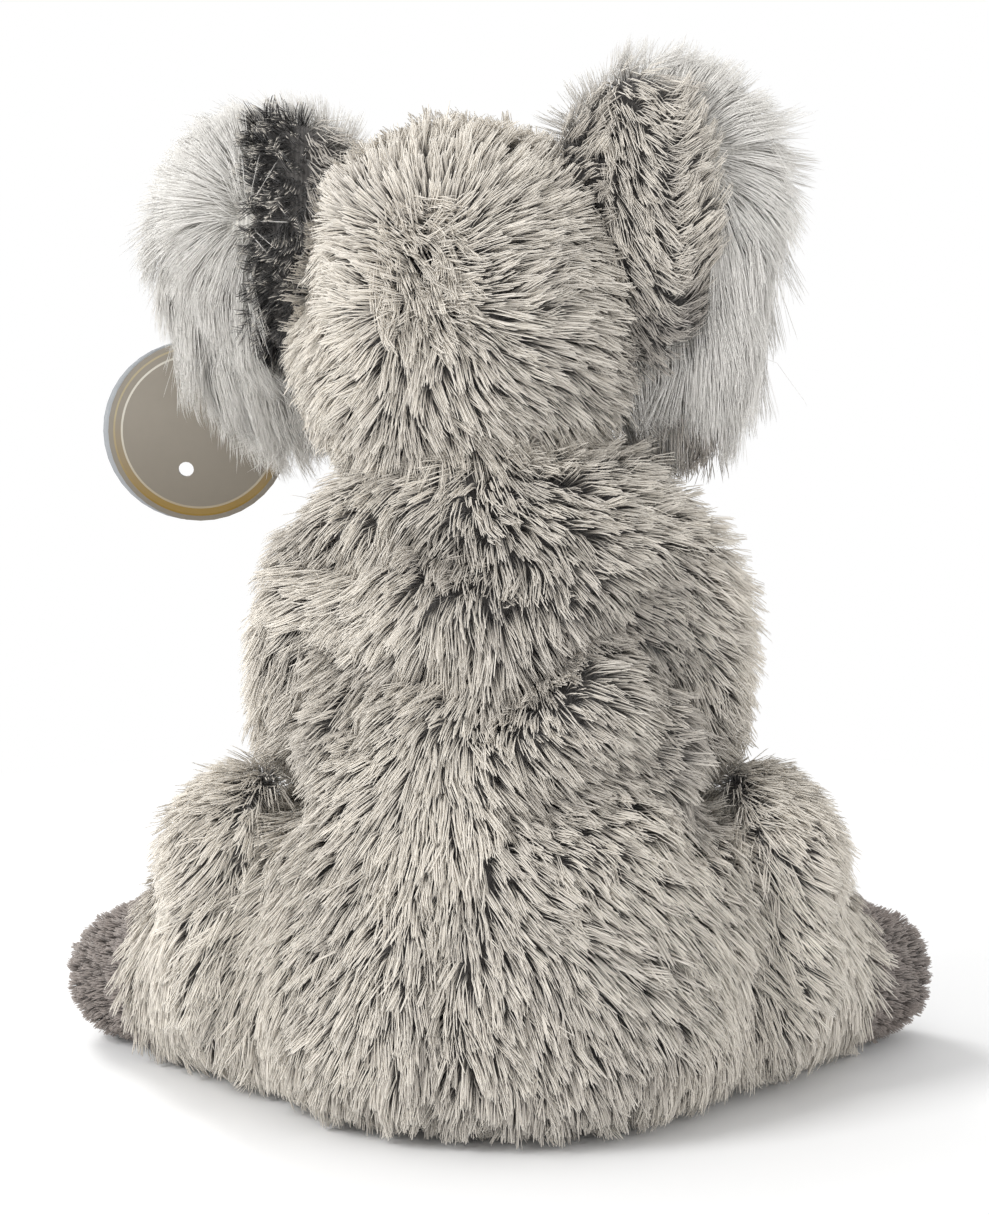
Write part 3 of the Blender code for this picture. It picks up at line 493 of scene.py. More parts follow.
# How much one lock differs from the next, and one fibre from the next in its lock
LOCK_SCATTER = {"lift": 0.22, "length": 0.10, "tone": 0.10}
FIBRE_SCATTER = {
    "angle": 0.08,
    "lift": 0.09,
    "length": 0.07,
    "pull": 0.25,
    "bend": 0.03,
    "width": 0.15,
    "tone": 0.12,
}
draws = np.random.default_rng(SEED)
# The swing tag hangs in front of the left ear, and holds its fur back
TAG_RADIUS, TAG_CLEAR, HOLE_SHARE = 0.020, 0.0012, 0.84
TAG_HOLE = np.array(next(joint for joint in frame["joints"] if joint["name"] == "tag_swing")["pos_m"])
TAG_MIDDLE = TAG_HOLE - np.array((0.0, 0.0, TAG_RADIUS * HOLE_SHARE))


def fur_finish(name, stops, pale_stops, roughness):
    """Colour runs from root to tip, and from dark fibres to pale ones across the pile."""
    fur = Finish(name, Sheen_Weight=0.25, Sheen_Roughness=0.4, Specular_IOR_Level=0.3)
    chart = fur.add("ShaderNodeUVMap", {"uv_map": "OFBake"})
    tone = fur.add("ShaderNodeSeparateXYZ", None, {0: chart}, output=0)
    height = fur.add("ShaderNodeSeparateXYZ", None, {0: chart}, output=1)
    dark = fur.add("ShaderNodeValToRGB", {"stops": stops}, {0: height})
    pale = fur.add("ShaderNodeValToRGB", {"stops": pale_stops}, {0: height})
    fur.mottle(tone, dark, pale)
    fur.give("Roughness", roughness + 0.15 * height)
    return fur.material


GREY_FUR = fur_finish(
    "grey_pile",
    ((0.0, CHARCOAL_ROOT), (0.40, CHARCOAL_ROOT), (0.62, GREY_BAND), (1.0, DARK_TIP)),
    ((0.0, CHARCOAL_ROOT), (0.20, GREY_BAND), (0.46, CREAM_TIP), (1.0, CREAM_TIP)),
    0.55,
)
WHITE_FUR = fur_finish(
    "white_pile", ((0.0, WHITE_ROOT), (1.0, WHITE_TIP)), ((0.0, WHITE_TIP), (1.0, WHITE_TIP)), 0.5
)
BLACK_FUR = fur_finish(
    "near_black_pile",
    ((0.0, BLACK_ROOT), (0.75, BLACK_TIP), (1.0, BLACK_TIP)),
    ((0.0, BLACK_ROOT), (0.70, BLACK_TIP), (0.90, CREAM_TIP), (1.0, CREAM_TIP)),
    0.55,
)
TAUPE_FUR = fur_finish(
    "taupe_pile", ((0.0, TAUPE_ROOT), (1.0, TAUPE_TIP)), ((0.0, TAUPE_ROOT), (1.0, TAUPE_PALE)), 0.65
)


def waves(points, length, seed):
    """A soft random field over space, about -1 to 1, whose swells are about one length apart."""
    pick = np.random.default_rng(seed)
    total = np.zeros(len(points))
    for _ in range(6):
        way = pick.normal(size=3)
        way *= math.tau / length * pick.uniform(0.6, 1.4) / np.linalg.norm(way)
        total += np.sin(points @ way + pick.uniform(0.0, math.tau))
    return total / 2.5


def scatter(skin, density, bare=None):
    """Root points spread evenly over a skin's bare parts, with the skin's direction at each."""
    mesh = skin.data
    mesh.calc_loop_triangles()
    corners = np.empty(len(mesh.loop_triangles) * 3, int)
    mesh.loop_triangles.foreach_get("vertices", corners)
    corners = corners.reshape(-1, 3)
    points, ways = points_of(mesh), normals_of(mesh)
    a, b, c = (points[corners[:, k]] for k in range(3))
    areas = np.linalg.norm(np.cross(b - a, c - a), axis=1) / 2
    count = int(areas.sum() * density)
    chosen = draws.choice(len(areas), size=count, p=areas / areas.sum())
    r, s = np.sqrt(draws.random(count)), draws.random(count)
    shares = np.stack((1 - r, r * (1 - s), r * s), axis=1)[:, :, None]
    picked = corners[chosen]
    places, facing = (points[picked] * shares).sum(axis=1), unit((ways[picked] * shares).sum(axis=1))
    if bare is None:
        return places, facing
    keep = ((bare[picked] * shares[:, :, 0]).sum(axis=1) > 0.5) & (places[:, 2] > ROOT_LOW)
    return places[keep], facing[keep]


def turned(flow, ways, angle):
    """Directions along a skin, turned about its outward direction."""
    across = np.cross(ways, flow)
    return flow * np.cos(angle)[:, None] + across * np.sin(angle)[:, None]


def laid(flow, ways):
    """The part of each direction that runs along the skin."""
    return unit(flow - ways * (flow * ways).sum(axis=1, keepdims=True))


def grow(points, ways, flow, pile):
    """The fibres' spines as (fibre, ring, xyz), their widths and their tones.

    The fibres of one lock lean towards its middle fibre's tip. flow is the combed direction.
    """
    count = len(points)
    length, lift, tone = (pile[part](points) for part in ("length", "lift", "tone"))
    leads = draws.choice(count, size=max(1, int(count * pile["locks"])), replace=False)
    lead_tree = tree_of(points[leads])
    own = np.array([lead_tree.find(point)[1] for point in points])
    lead_angle = draws.normal(size=len(leads)) * pile["stray"]
    lead_lift, lead_length, lead_tone = (draws.normal(size=len(leads)) * part for part in LOCK_SCATTER.values())
    flow = turned(laid(flow, ways), ways, lead_angle[own] + draws.normal(size=count) * FIBRE_SCATTER["angle"])
    rise = lift * (1.0 + lead_lift[own] + draws.normal(size=count) * FIBRE_SCATTER["lift"])
    rise = np.clip(rise, LEAST_LIFT, MOST_LIFT)
    length = length * (1.0 + lead_length[own]) * (1.0 + draws.normal(size=count) * FIBRE_SCATTER["length"])
    tip = points + flow * (length * np.cos(rise))[:, None] + ways * (length * np.sin(rise))[:, None]
    lead_tip = tip[leads][own]
    pull = pile["gather"] * np.clip(1.0 + draws.normal(size=(count, 1)) * FIBRE_SCATTER["pull"], *PULL_LIMITS)
    tip = tip + (lead_tip - tip) * pull
    bend = points + flow * (length * BEND_ALONG)[:, None]
    bend = bend + ways * (length * (np.sin(rise) * BEND_RISE + BEND_LEAST))[:, None]
    bend += (lead_tip - tip) * pull * BEND_PULL
    bend += draws.normal(size=(count, 3)) * (length * FIBRE_SCATTER["bend"])[:, None]
    root = points - ways * ROOT_SUNK
    steps = np.append(np.linspace(0.0, BLUNT, pile["rings"]), 1.0)[None, :, None]
    spine = (1 - steps) ** 2 * root[:, None] + 2 * steps * (1 - steps) * bend[:, None] + steps**2 * tip[:, None]
    spine[:, :, 2] = np.maximum(spine[:, :, 2], SPINE_LOW)
    wide = pile["width"] * (1.0 + draws.normal(size=count) * FIBRE_SCATTER["width"])
    shade = np.clip(tone + lead_tone[own] + draws.normal(size=count) * FIBRE_SCATTER["tone"], 0.0, 1.0)
    return spine, wide, shade


def kept_behind(spine):
    """Bends the fibres that would go through the swing tag back behind it."""
    beyond = np.linalg.norm(spine[:, :, (0, 2)] - TAG_MIDDLE[[0, 2]], axis=2) < TAG_RADIUS + TAG_CLEAR
    spine[:, :, 1] = np.where(beyond, np.maximum(spine[:, :, 1], TAG_MIDDLE[1] + TAG_CLEAR), spine[:, :, 1])
    return spine


def blade_pattern(rings):
    """The triangles of one blade: three sides between its rings, closed at the root and brought to a tip."""
    faces = [(0, 2, 1)]
    for low in range(0, (rings - 1) * 3, 3):
        for k in range(3):
            n = (k + 1) % 3
            faces += [(low + k, low + n, low + n + 3), (low + k, low + n + 3, low + k + 3)]
    last = (rings - 1) * 3
    faces += [(last + k, last + (k + 1) % 3, rings * 3) for k in range(3)]
    return np.array(faces)


def blades(name, body, node, pile, spine, wide, shade, ways):
    """Makes the fibres as pieces of a fair size, all riding on one body."""
    rings = spine.shape[1] - 1
    taper = np.linspace(1.0, pile["tip"], rings)
    turns = np.array([math.pi / 2, math.pi * 7 / 6, math.pi * 11 / 6])
    pattern = blade_pattern(rings)
    verts_each = rings * 3 + 1
    side_u = np.array([0.0, 0.5, 1.0] * rings + [0.5])
    side_v = np.append(np.repeat(np.linspace(0.0, BLUNT, rings), 3), 1.0)
    for part, start in enumerate(range(0, len(spine), FIBRES_A_PIECE), 1):
        run = slice(start, min(start + FIBRES_A_PIECE, len(spine)))
        centre, wide_here, shade_here = spine[run], wide[run], shade[run]
        count = len(centre)
        along = unit(centre[:, -1] - centre[:, 0])
        across = unit(np.cross(along, ways[run]) + 1e-6)
        above = np.cross(across, along)
        points = np.empty((count, verts_each, 3))
        for ring in range(rings):
            for k, turn in enumerate(turns):
                offset = across * math.cos(turn) + above * math.sin(turn) * FLATNESS
                points[:, ring * 3 + k] = centre[:, ring] + offset * (wide_here * taper[ring] / 2)[:, None]
        points[:, -1] = centre[:, -1]
        points[:, :, 2] = np.maximum(points[:, :, 2], BLADE_LOW)
        corners = (pattern[None] + (np.arange(count) * verts_each)[:, None, None]).reshape(-1)
        mesh = bpy.data.meshes.new(f"{name}_{part}")
        mesh.vertices.add(count * verts_each)
        mesh.loops.add(len(corners))
        mesh.polygons.add(len(corners) // 3)
        mesh.vertices.foreach_set("co", points.ravel())
        mesh.loops.foreach_set("vertex_index", corners)
        mesh.polygons.foreach_set("loop_start", np.arange(0, len(corners), 3))
        mesh.update(calc_edges=True)
        mesh.shade_smooth()
        chart = mesh.uv_layers.new(name="OFBake")
        u = CHART_EDGE + TONE_SHARE * shade_here[:, None] + SIDE_SHARE * side_u[None, :]
        v = CHART_EDGE + (1 - 2 * CHART_EDGE) * np.broadcast_to(side_v[None, :], u.shape)
        pairs = np.stack((u, v), axis=2).reshape(-1, 2)[corners]
        chart.data.foreach_set("uv", pairs.ravel())
        mesh.materials.append(pile["finish"])
        piece = new_piece(f"{name}_{part}", mesh)
        fit(piece, body, pile["slot"], node)


# Torso: two back panels that meet in a seam down the back, and a belly panel, all in grey frosted plush.
# They are sewn inside out, turned and stuffed. The fur is brushed down and out from the middle.
BACK_PARTING, NECK_PARTING = 0.0142, 0.0060
BACK_SPREAD, NECK_SPREAD, BELLY_SPREAD = 0.024, 0.032, 0.030
SEAT_RISE, NECK_FUR_END, LOW_LIFT = (0.010, 0.045), (0.086, 0.062), (0.070, 0.045)
THIGH_INSIDE, THIGH_UNDER, BELLY_SIDE = (0.030, 0.040), (0.092, 0.084), (0.030, 0.060)
THIGH_PARTING = (0.0530, 0.0720, 0.0090)
REAR = (-0.010, 0.010)
# Painted shade in the back's folds: the fibres there are painted darker, the deeper the fold
FOLD_PAINTED_SHADE = 42.0  # how much darker in tone per metre of depth
# Where the pile stands up and shows its dark roots, and in part where its fibres are painted darker as painted
# shade in folds and in the gap by the left ear (more than zero), or lies flat and pale: x, z, reach, amount
RUFFLED_AND_SHADED = (
    (-0.0300, 0.1180, 0.0220, 0.3),
    (-0.0080, 0.1140, 0.0130, 0.7),
    (0.0050, 0.1190, 0.0080, 0.6),
    (0.0345, 0.1920, 0.0060, 1.6),
    (-0.0200, 0.1010, 0.0120, 0.6),
    (-0.0400, 0.0670, 0.0060, 1.2),
    (0.0140, 0.0680, 0.0130, -0.8),
    (0.0150, 0.1220, 0.0060, 0.9),
    (0.0250, 0.0980, 0.0060, 0.7),
    (-0.0020, 0.0900, 0.0080, 0.5),
    (0.0340, 0.1060, 0.0180, -0.8),
    (0.0600, 0.0300, 0.0280, -0.8),
    (-0.0620, 0.0280, 0.0220, -0.4),
    (-0.0050, 0.0300, 0.0280, 0.6),
    (0.0150, 0.1780, 0.0070, 0.2),
    (0.0125, 0.1690, 0.0070, 0.6),
    (-0.0210, 0.1540, 0.0130, 0.6),
    (0.0320, 0.1720, 0.0160, -0.8),
)


# In part painted shade: where this is more than zero the tone drops as well as the pile standing up
def ruffled_and_shaded(points):
    total = np.zeros(len(points))
    for x, z, reach, amount in RUFFLED_AND_SHADED:
        total += amount * np.exp(-((points[:, 0] - x) ** 2 + (points[:, 2] - z) ** 2) / reach**2)
    return total * smooth_step(*REAR, points[:, 1])


def swelling(mean, change, apart, seed):
    """A value that rises and falls softly over the pile, by how much, and how far apart its swells are."""
    return lambda points: mean + change * waves(points, apart, seed)


def brushed(points, x, y, z):
    """A direction for each point from its x, y and z parts."""
    flow = np.empty_like(points)
    flow[:, 0], flow[:, 1], flow[:, 2] = x, y, z
    return flow


def swirled(flow, ways, points, amount, length, seed):
    """A brushed flow with soft swirls in it."""
    return turned(laid(flow, ways), ways, amount * waves(points, length, seed))


def trunk_flow(points, ways):
    """Down and out from a parting over the seat, down and out from the neck, and down on the belly."""
    x, _, z = points.T
    spread = 0.25 + 0.75 * smooth_step(*SEAT_RISE, z)
    away = unit(brushed(points, 0.95 * spread * np.tanh((x - BACK_PARTING) / BACK_SPREAD), 0.0, -1.0))
    above = unit(brushed(points, 1.2 * np.tanh((x - NECK_PARTING) / NECK_SPREAD), 0.0, -0.8))
    low = smooth_step(*NECK_FUR_END, z)[:, None]
    back = swirled(unit(above * (1 - low) + away * low), ways, points, 0.42 - 0.26 * low[:, 0], 0.030, 61)
    thigh = smooth_step(0.25, 0.65, ways[:, 2]) * smooth_step(*THIGH_UNDER, z)
    thigh *= smooth_step(*THIGH_INSIDE, np.abs(x))
    back = back * (1 - thigh)[:, None] + brushed(points, 0.6 * np.sign(x), 0.7, -0.3) * thigh[:, None]
    forward = -0.3 * smooth_step(*BELLY_SIDE, np.abs(x))
    front = unit(brushed(points, 0.5 * np.tanh(x / BELLY_SPREAD), forward, -1.0))
    facing = ways[:, 1]
    behind = np.maximum(smooth_step(-0.35, 0.25, facing), thigh * smooth_step(-0.9, -0.5, facing))[:, None]
    return front * (1 - behind) + back * behind


def thigh_crest(points):
    """Where the thigh's fur parts, and stands up so that its roots don't show."""
    off = (np.abs(points[:, 0]) - THIGH_PARTING[0]) ** 2 + (points[:, 2] - THIGH_PARTING[1]) ** 2
    return np.exp(-off / THIGH_PARTING[2] ** 2)


def grey_tone(points):
    tone = 0.85 + 0.15 * thigh_crest(points) + 0.11 * waves(points, 0.022, 3) - 0.30 * ruffled_and_shaded(points)
    # Painted shade: the fibres on the back are darker in its folds
    return np.clip(tone - FOLD_PAINTED_SHADE * fold_depth(points) * (points[:, 1] > 0.0), 0.05, 0.97)


def grey_lift(points):
    lift = 0.70 - 0.18 * smooth_step(*LOW_LIFT, points[:, 2])
    lift = lift * (1.0 + 0.12 * waves(points, 0.030, 5) + 0.55 * ruffled_and_shaded(points))
    return lift - 0.25 * thigh_crest(points)


# Pile: fibres a square metre, their width, what is left of it at the tip, the share of fibres that lead a lock,
# how far a lock gathers and how far it strays from the brushed way, and the rings of one blade
LONG_GREY = {
    "density": 2.0e6,
    "width": 0.00035,
    "tip": 0.60,
    "locks": 0.13,
    "gather": 0.34,
    "stray": 0.20,
    "rings": 3,
    "length": swelling(0.0084, 0.0006, 0.050, 9),
    "lift": grey_lift,
    "tone": grey_tone,
    "finish": GREY_FUR,
    "slot": "grey_plush",
}


def dress(body, skin, node, covers, flow_of, pile, bare=None, where=None, tag=""):
    """Sets pile on the part of a skin that one cover makes, or where it says."""
    points, ways = scatter(skin, pile["density"], bare)
    keep = nearest_cover(points, covers) == covers.index(node)
    if where:
        keep = where(points, keep)
    points, ways = points[keep], ways[keep]
    spine, wide, shade = grow(points, ways, flow_of(points, ways), pile)
    if body == "ear_left":
        spine = kept_behind(spine)
    name = "fur_" + node.replace("_cover", "") + tag
    blades(name, body, node, pile, spine, wide, shade, ways)


FRONT_GREY = {**LONG_GREY, "density": 1.1e6, "width": 0.00046}
for cover in COVERS["torso"]:
    pile = FRONT_GREY if cover == "belly_cover" else LONG_GREY
    dress("torso", skins["torso"], cover, COVERS["torso"], trunk_flow, pile, bared["torso"])


# Head: two side panels that meet in a seam over the crown, and a small muzzle panel, sewn and stuffed.
# The fur turns out from a whorl at the back of the head, lies tousled over it, and lies back from the face.
NECK_TURN = next(joint for joint in frame["joints"] if joint["name"] == "head_turn")
NECK_LENGTH = 0.033  # from the neck's pivot to the head's middle
HEAD_UP = np.array(NECK_TURN["axis"])
HEAD_MIDDLE = np.array(NECK_TURN["pos_m"]) + HEAD_UP * NECK_LENGTH
HEAD_FRONT = unit((NOSE - HEAD_MIDDLE - HEAD_UP * ((NOSE - HEAD_MIDDLE) @ HEAD_UP))[None])[0]
HEAD_LEFT = np.cross(HEAD_UP, HEAD_FRONT)
HEAD_WHORL, PARTING_HALF, WHORL_REACH = (0.0166, 0.1775), 0.0055, 0.006
SIDE_SPREAD, TOP_SPREAD, LOW_SPREAD, TOP_RISE = 0.016, 0.010, 0.016, (0.002, 0.014)
FACE_END, FACE_FUR, EYE_FUR, HEAD_REAR = (0.034, 0.060), (0.0040, 0.0046), (0.005, 0.010), (-0.012, 0.012)


def from_parting(points):
    """How far points are beside and above the short parting at the back of the head."""
    side, rise = points[:, 0] - HEAD_WHORL[0], points[:, 2] - HEAD_WHORL[1]
    return side, rise - np.clip(rise, -PARTING_HALF, PARTING_HALF)


def head_flow(points, ways):
    """Sideways and down from a short parting at the back of the head, and back from the nose in front."""
    side, rise = from_parting(points)
    fall = np.where(rise > 0.0, 0.9 * np.tanh(rise / TOP_SPREAD), np.tanh(rise / LOW_SPREAD))
    behind = brushed(points, np.tanh(side / SIDE_SPREAD), -0.8 * smooth_step(*TOP_RISE, rise), fall)
    behind = swirled(behind, ways, points, 0.30, 0.022, 62)
    rear = smooth_step(*HEAD_REAR, points[:, 1])[:, None]
    return unit(points - NOSE) * (1 - rear) + behind * rear


def crown(points):
    """How near a point is to the short parting at the back of the head."""
    side, rise = from_parting(points)
    return np.exp(-(side**2 + rise**2) / WHORL_REACH**2) * (points[:, 1] > 0.0)


def head_length(points):
    eyes = np.min([far_from(points, eye) for eye in EYES], axis=0)
    face = FACE_FUR[0] + FACE_FUR[1] * smooth_step(*FACE_END, far_from(points, NOSE))
    return face * (0.6 + 0.4 * smooth_step(*EYE_FUR, eyes))


def head_lift(points):
    return grey_lift(points) + (0.06 + 0.40 * crown(points)) * smooth_step(*REAR, points[:, 1])


def crown_part(points, own):
    return own & (crown(points) > 0.15)


def crown_flow(points, ways):
    """Down over the parting from its upper left, as a hand leaves it."""
    return swirled(brushed(points, -0.55, 0.2, -0.85), ways, points, 0.35, 0.012, 65)


HEAD_GREY = {**LONG_GREY, "length": head_length, "lift": head_lift, "width": 0.00034, "locks": 0.16}
CROWN_GREY = {
    **HEAD_GREY,
    "density": 3.2e6,
    "length": swelling(0.0085, 0.0005, 0.010, 8),
    "lift": swelling(0.62, 0.10, 0.010, 66),
    "tone": lambda points: np.clip(grey_tone(points) + 0.10, 0.0, 1.0),
}
for cover in COVERS["head"]:
    dress("head", skins["head"], cover, COVERS["head"], head_flow, HEAD_GREY, bared["head"])
for cover in COVERS["head"][:2]:
    dress("head", skins["head"], cover, COVERS["head"], crown_flow, CROWN_GREY, where=crown_part, tag="_crown")


# Nose: one moulded piece of black plastic with a leather grain and two nostrils.
# It is pressed into the muzzle panel.
NOSTRIL_OUT, NOSTRIL_DOWN, NOSTRIL_FRONT, NOSTRIL_REACH, NOSTRIL_DEPTH = 0.0036, 0.0040, 0.0040, 0.0030, 0.0016
WELD = 1e-5


def nose_finish():
    leather = Finish("nose_leather")
    place = leather.place()
    grain = {"Vector": place, "Scale": 1500.0}
    cells = leather.add("ShaderNodeTexVoronoi", {"feature": "DISTANCE_TO_EDGE"}, grain)
    worn = leather.noise(260.0, 3.0, place)
    leather.mottle(worn, (0.016, 0.014, 0.014), (0.040, 0.036, 0.036))
    leather.give("Roughness", 0.34 + 0.22 * worn)
    leather.bump(cells, 0.5, 0.0002)
    return leather.material


def refined(name, node, levels):
    """A finer copy of a CAD node."""
    piece = new_piece(name, frame["nodes"][node].data.copy())
    weld = piece.modifiers.new("weld", "WELD")
    weld.merge_threshold = WELD
    rounder = piece.modifiers.new("rounder", "SUBSURF")
    rounder.levels = rounder.render_levels = levels
    settled(piece).data.materials.clear()
    piece.data.shade_smooth()
    return piece


nose = refined("nose_leather", "nose", 2)
points, ways = points_of(nose.data), normals_of(nose.data)
for way in (1, -1):
    pit = NOSE + HEAD_FRONT * NOSTRIL_FRONT + HEAD_LEFT * way * NOSTRIL_OUT - HEAD_UP * NOSTRIL_DOWN
    near = 1.0 - smooth_step(0.3, 1.0, far_from(points, pit) / NOSTRIL_REACH)
    points = points - HEAD_FRONT * (near * NOSTRIL_DEPTH)[:, None]
set_points(nose.data, points)
nose.data.materials.append(nose_finish())
fit(nose, "head", "nose_plastic", "nose")


# Eyes: turned plastic domes on ribbed stems, dark and glossy, each with a white moulded washer.
# The stem goes through the cloth, and the washer is pushed on inside the head.
EYE_RADIUS = 0.0046
EYE_RADII = (0.0, 0.22, 0.42, 0.60, 0.76, 0.88, 0.96, 1.0, 0.99, 0.94, 0.80, 0.34)  # as shares of the eye's own
EYE_HEIGHTS = (1.0, 0.975, 0.907, 0.80, 0.65, 0.475, 0.28, 0.08, -0.06, -0.14, -0.16, -0.16)
STEM_RADIUS, STEM_RIB, STEM_STEP, STEM_RIBS = 0.0013, 0.0015, 0.0009, 9


def eye_finish():
    glass = Finish("eye_gloss", Coat_Weight=1.0, Coat_Roughness=0.03)
    depth = glass.noise(180.0, 2.0, glass.place())
    glass.mottle(depth, (0.010, 0.006, 0.004), (0.030, 0.016, 0.009))
    glass.give("Roughness", 0.05 + 0.04 * depth)
    return glass.material


def turned_piece(name, profile, middle, axis, sides):
    """A closed turning: (radius, distance along the axis) from end to end."""
    facing = Vector(axis).to_track_quat("Z", "Y").to_matrix()
    bm = bmesh.new()
    rows = []
    for radius, height in profile:
        row = []
        for k in range(sides if radius > 0.0 else 1):
            turn = math.tau * k / sides
            spot = Vector((radius * math.cos(turn), radius * math.sin(turn), height))
            row.append(bm.verts.new(Vector(middle) + facing @ spot))
        rows.append(row)
    for low, high in zip(rows, rows[1:]):
        for k in range(sides):
            n = (k + 1) % sides
            if len(low) == 1:
                bm.faces.new((low[0], high[k], high[n]))
            elif len(high) == 1:
                bm.faces.new((low[k], high[0], low[n]))
            else:
                bm.faces.new((low[k], high[k], high[n], low[n]))
    bmesh.ops.recalc_face_normals(bm, faces=bm.faces[:])
    mesh = bpy.data.meshes.new(name)
    bm.to_mesh(mesh)
    bm.free()
    mesh.shade_smooth()
    mesh.set_sharp_from_angle(angle=math.radians(35.0))
    return new_piece(name, mesh)


EYE_GLOSS = eye_finish()
for word in ("left", "right"):
    washer = middle_of(f"eye_washer_{word}")
    corners = points_of(frame["nodes"][f"eye_{word}"].data)
    tip = corners[far_from(corners, washer).argmax()]
    axis = unit((tip - washer)[None])[0]
    profile = [(r * EYE_RADIUS, h * EYE_RADIUS) for r, h in zip(EYE_RADII, EYE_HEIGHTS)]
    height = profile[-1][1]
    for _ in range(STEM_RIBS):
        height -= STEM_STEP
        profile += [(STEM_RADIUS, height + STEM_STEP * 0.6), (STEM_RIB, height + STEM_STEP * 0.3)]
    profile += [(STEM_RADIUS * 0.6, height), (0.0, height)]
    eye = turned_piece(f"eye_{word}_dome", profile, tip - axis * EYE_RADIUS, axis, 32)
    eye.data.materials.append(EYE_GLOSS)
    fit(eye, "head", "eye_plastic", f"eye_{word}")


def moulded_finish(name, colour, rough):
    """Moulded plastic with a faint orange-peel face."""
    plastic = Finish(name)
    peel = plastic.noise(1400.0, 2.0, plastic.place())
    plastic.mottle(peel, tuple(c * 0.9 for c in colour), colour)
    plastic.give("Roughness", rough + 0.12 * peel)
    plastic.bump(peel, 0.15, 0.0001)
    return plastic.material


def repaint(node, finish):
    mesh = frame["nodes"][node].data
    mesh.materials.clear()
    mesh.materials.append(finish)


WASHER_PLASTIC = moulded_finish("washer_plastic", (0.75, 0.75, 0.73), 0.42)
for word in ("left", "right"):
    repaint(f"eye_washer_{word}", WASHER_PLASTIC)


# Ears: a grey plush back sewn to a larger front of long white pile, which stands out all round it.
# The left ear's back shows a near-black band beside the white, and the right ear's front ends in a dark tip.
EAR_VOXEL, EAR_SMOOTHING = 0.0016, 3
EAR_ROOT = 0.016  # from the ear's middle in to its sewn edge
# How much smaller the cloth is than the ear with its pile: outwards, upwards and downwards
EAR_DRAWN_IN = {"left": (0.0, 0.24, 0.04), "right": (0.17, 0.22, 0.0)}
LOOP, LOOP_CLEAR = middle_of("tag_loop"), (0.005, 0.013)
LEFT_WHITE_EDGE, LEFT_BLACK_EDGE, BLACK_SPREAD = 0.0520, 0.0410, 0.005
# The left ear's back turns from painted shade, low down by the head, to its paler grey over these heights
LEFT_PAINTED_SHADE, BLACK_FROST = (0.188, 0.204), (0.165, 0.195)
RIGHT_HEAD_EDGE, RIGHT_DARK_TOP = -0.0215, (0.1750, 0.1670)
RIGHT_GROOVE, GROOVE_HALF, GROOVE_REACH = -0.0330, 0.002, 0.0018
TOP_CORNER, CORNER_RISE, CORNER_IN = 0.0050, (0.006, 0.026), (0.022, 0.004)
TIP_SAG, TIP_TURN_IN, TIP_START = 0.0105, 0.0050, (-0.004, -0.024)
TIP_RISE, TIP_BACK = (0.0110, 0.0130), 0.004
WHITE_WHORL, WHITE_HANG = 0.002, (0.012, -0.016)
WHITE_SHORT, WHITE_LONGER, WHITE_LONGEST = 0.0095, 0.0035, 0.0050
WHITE_SIDE, WHITE_LOW = (0.020, 0.002), (-0.008, -0.022)


# middle, outward and lowest, which these read, are those of the ear that is being dressed
def white_flow(points, ways):
    """Out from the ear's middle, and hanging more and more towards its lower end."""
    reach = points - middle - outward * WHITE_WHORL
    radial = unit(reach - HEAD_FRONT * (reach @ HEAD_FRONT)[:, None])
    lower = smooth_step(*WHITE_HANG, reach @ HEAD_UP)[:, None]
    return radial * (1.0 - 0.7 * lower) + outward * 0.35 * (1.0 - lower) - HEAD_UP * (0.15 + 1.1 * lower)


def white_length(points):
    rise = (points - middle) @ HEAD_UP
    length = WHITE_SHORT + WHITE_LONGER * smooth_step(*WHITE_SIDE, rise)
    return length + WHITE_LONGEST * smooth_step(*WHITE_LOW, rise)


def white_tone(points):
    return np.where(points[:, 0] > 0.0, 0.25, 0.85) + 0.15 * waves(points, 0.020, 14)


def white_part(points, own):
    return own | (points[:, 0] > LEFT_WHITE_EDGE)


def tip_part(points, own):
    rise = np.where(points[:, 1] > middle[1] - TIP_BACK, *TIP_RISE)
    return own & (points[:, 2] < lowest + rise)


def above_tip(points, own):
    return own & ~tip_part(points, own)


def between(low, high):
    """The part of a cover that lies between two places from right to left."""
    return lambda points, own: own & (points[:, 0] > low) & (points[:, 0] <= high)


def tip_flow(points, ways):
    """Down, a little back, and hardly outwards."""
    return brushed(points, 0.1 * points[:, 0], 0.1, -1.0)


def left_back_flow(points, ways):
    aside = np.tanh((points[:, 0] - LEFT_BLACK_EDGE) / BLACK_SPREAD)[:, None]
    return outward * aside * 0.9 - HEAD_UP * 0.35


def left_tone(points):
    # Painted shade: darker low on the ear, in the gap between the ear and the head
    return 0.12 + 0.38 * smooth_step(*LEFT_PAINTED_SHADE, points[:, 2]) + 0.10 * waves(points, 0.012, 21)


def black_tone(points):
    """Near black, with a pale-tipped fibre here and there, and more of them higher up."""
    pale = 0.20 + 0.35 * smooth_step(*BLACK_FROST, points[:, 2])
    return np.where(draws.random(len(points)) < pale, 0.9, 0.12)


def right_back_flow(points, ways):
    """Up and out from the groove, and towards it from its inner side."""
    past = smooth_step(GROOVE_HALF, -GROOVE_HALF, points[:, 0] - RIGHT_GROOVE)[:, None]
    barbs = outward * 0.8 + HEAD_UP * 0.6
    return swirled(barbs * past + (outward * 0.5 - HEAD_UP * 0.8) * (1.0 - past), ways, points, 0.2, 0.020, 63)


def right_base_flow(points, ways):
    return swirled(outward * 0.9 + HEAD_UP * 0.25, ways, points, 0.2, 0.020, 64)


def right_tone(points):
    # Painted shade: the fibres are a little darker in the groove
    groove = np.exp(-((points[:, 0] - RIGHT_GROOVE) ** 2) / GROOVE_REACH**2)
    dark = smooth_step(*RIGHT_DARK_TOP, points[:, 2])
    return np.clip(0.72 - 0.10 * groove - 0.60 * dark + 0.08 * waves(points, 0.015, 22), 0.02, 1.0)


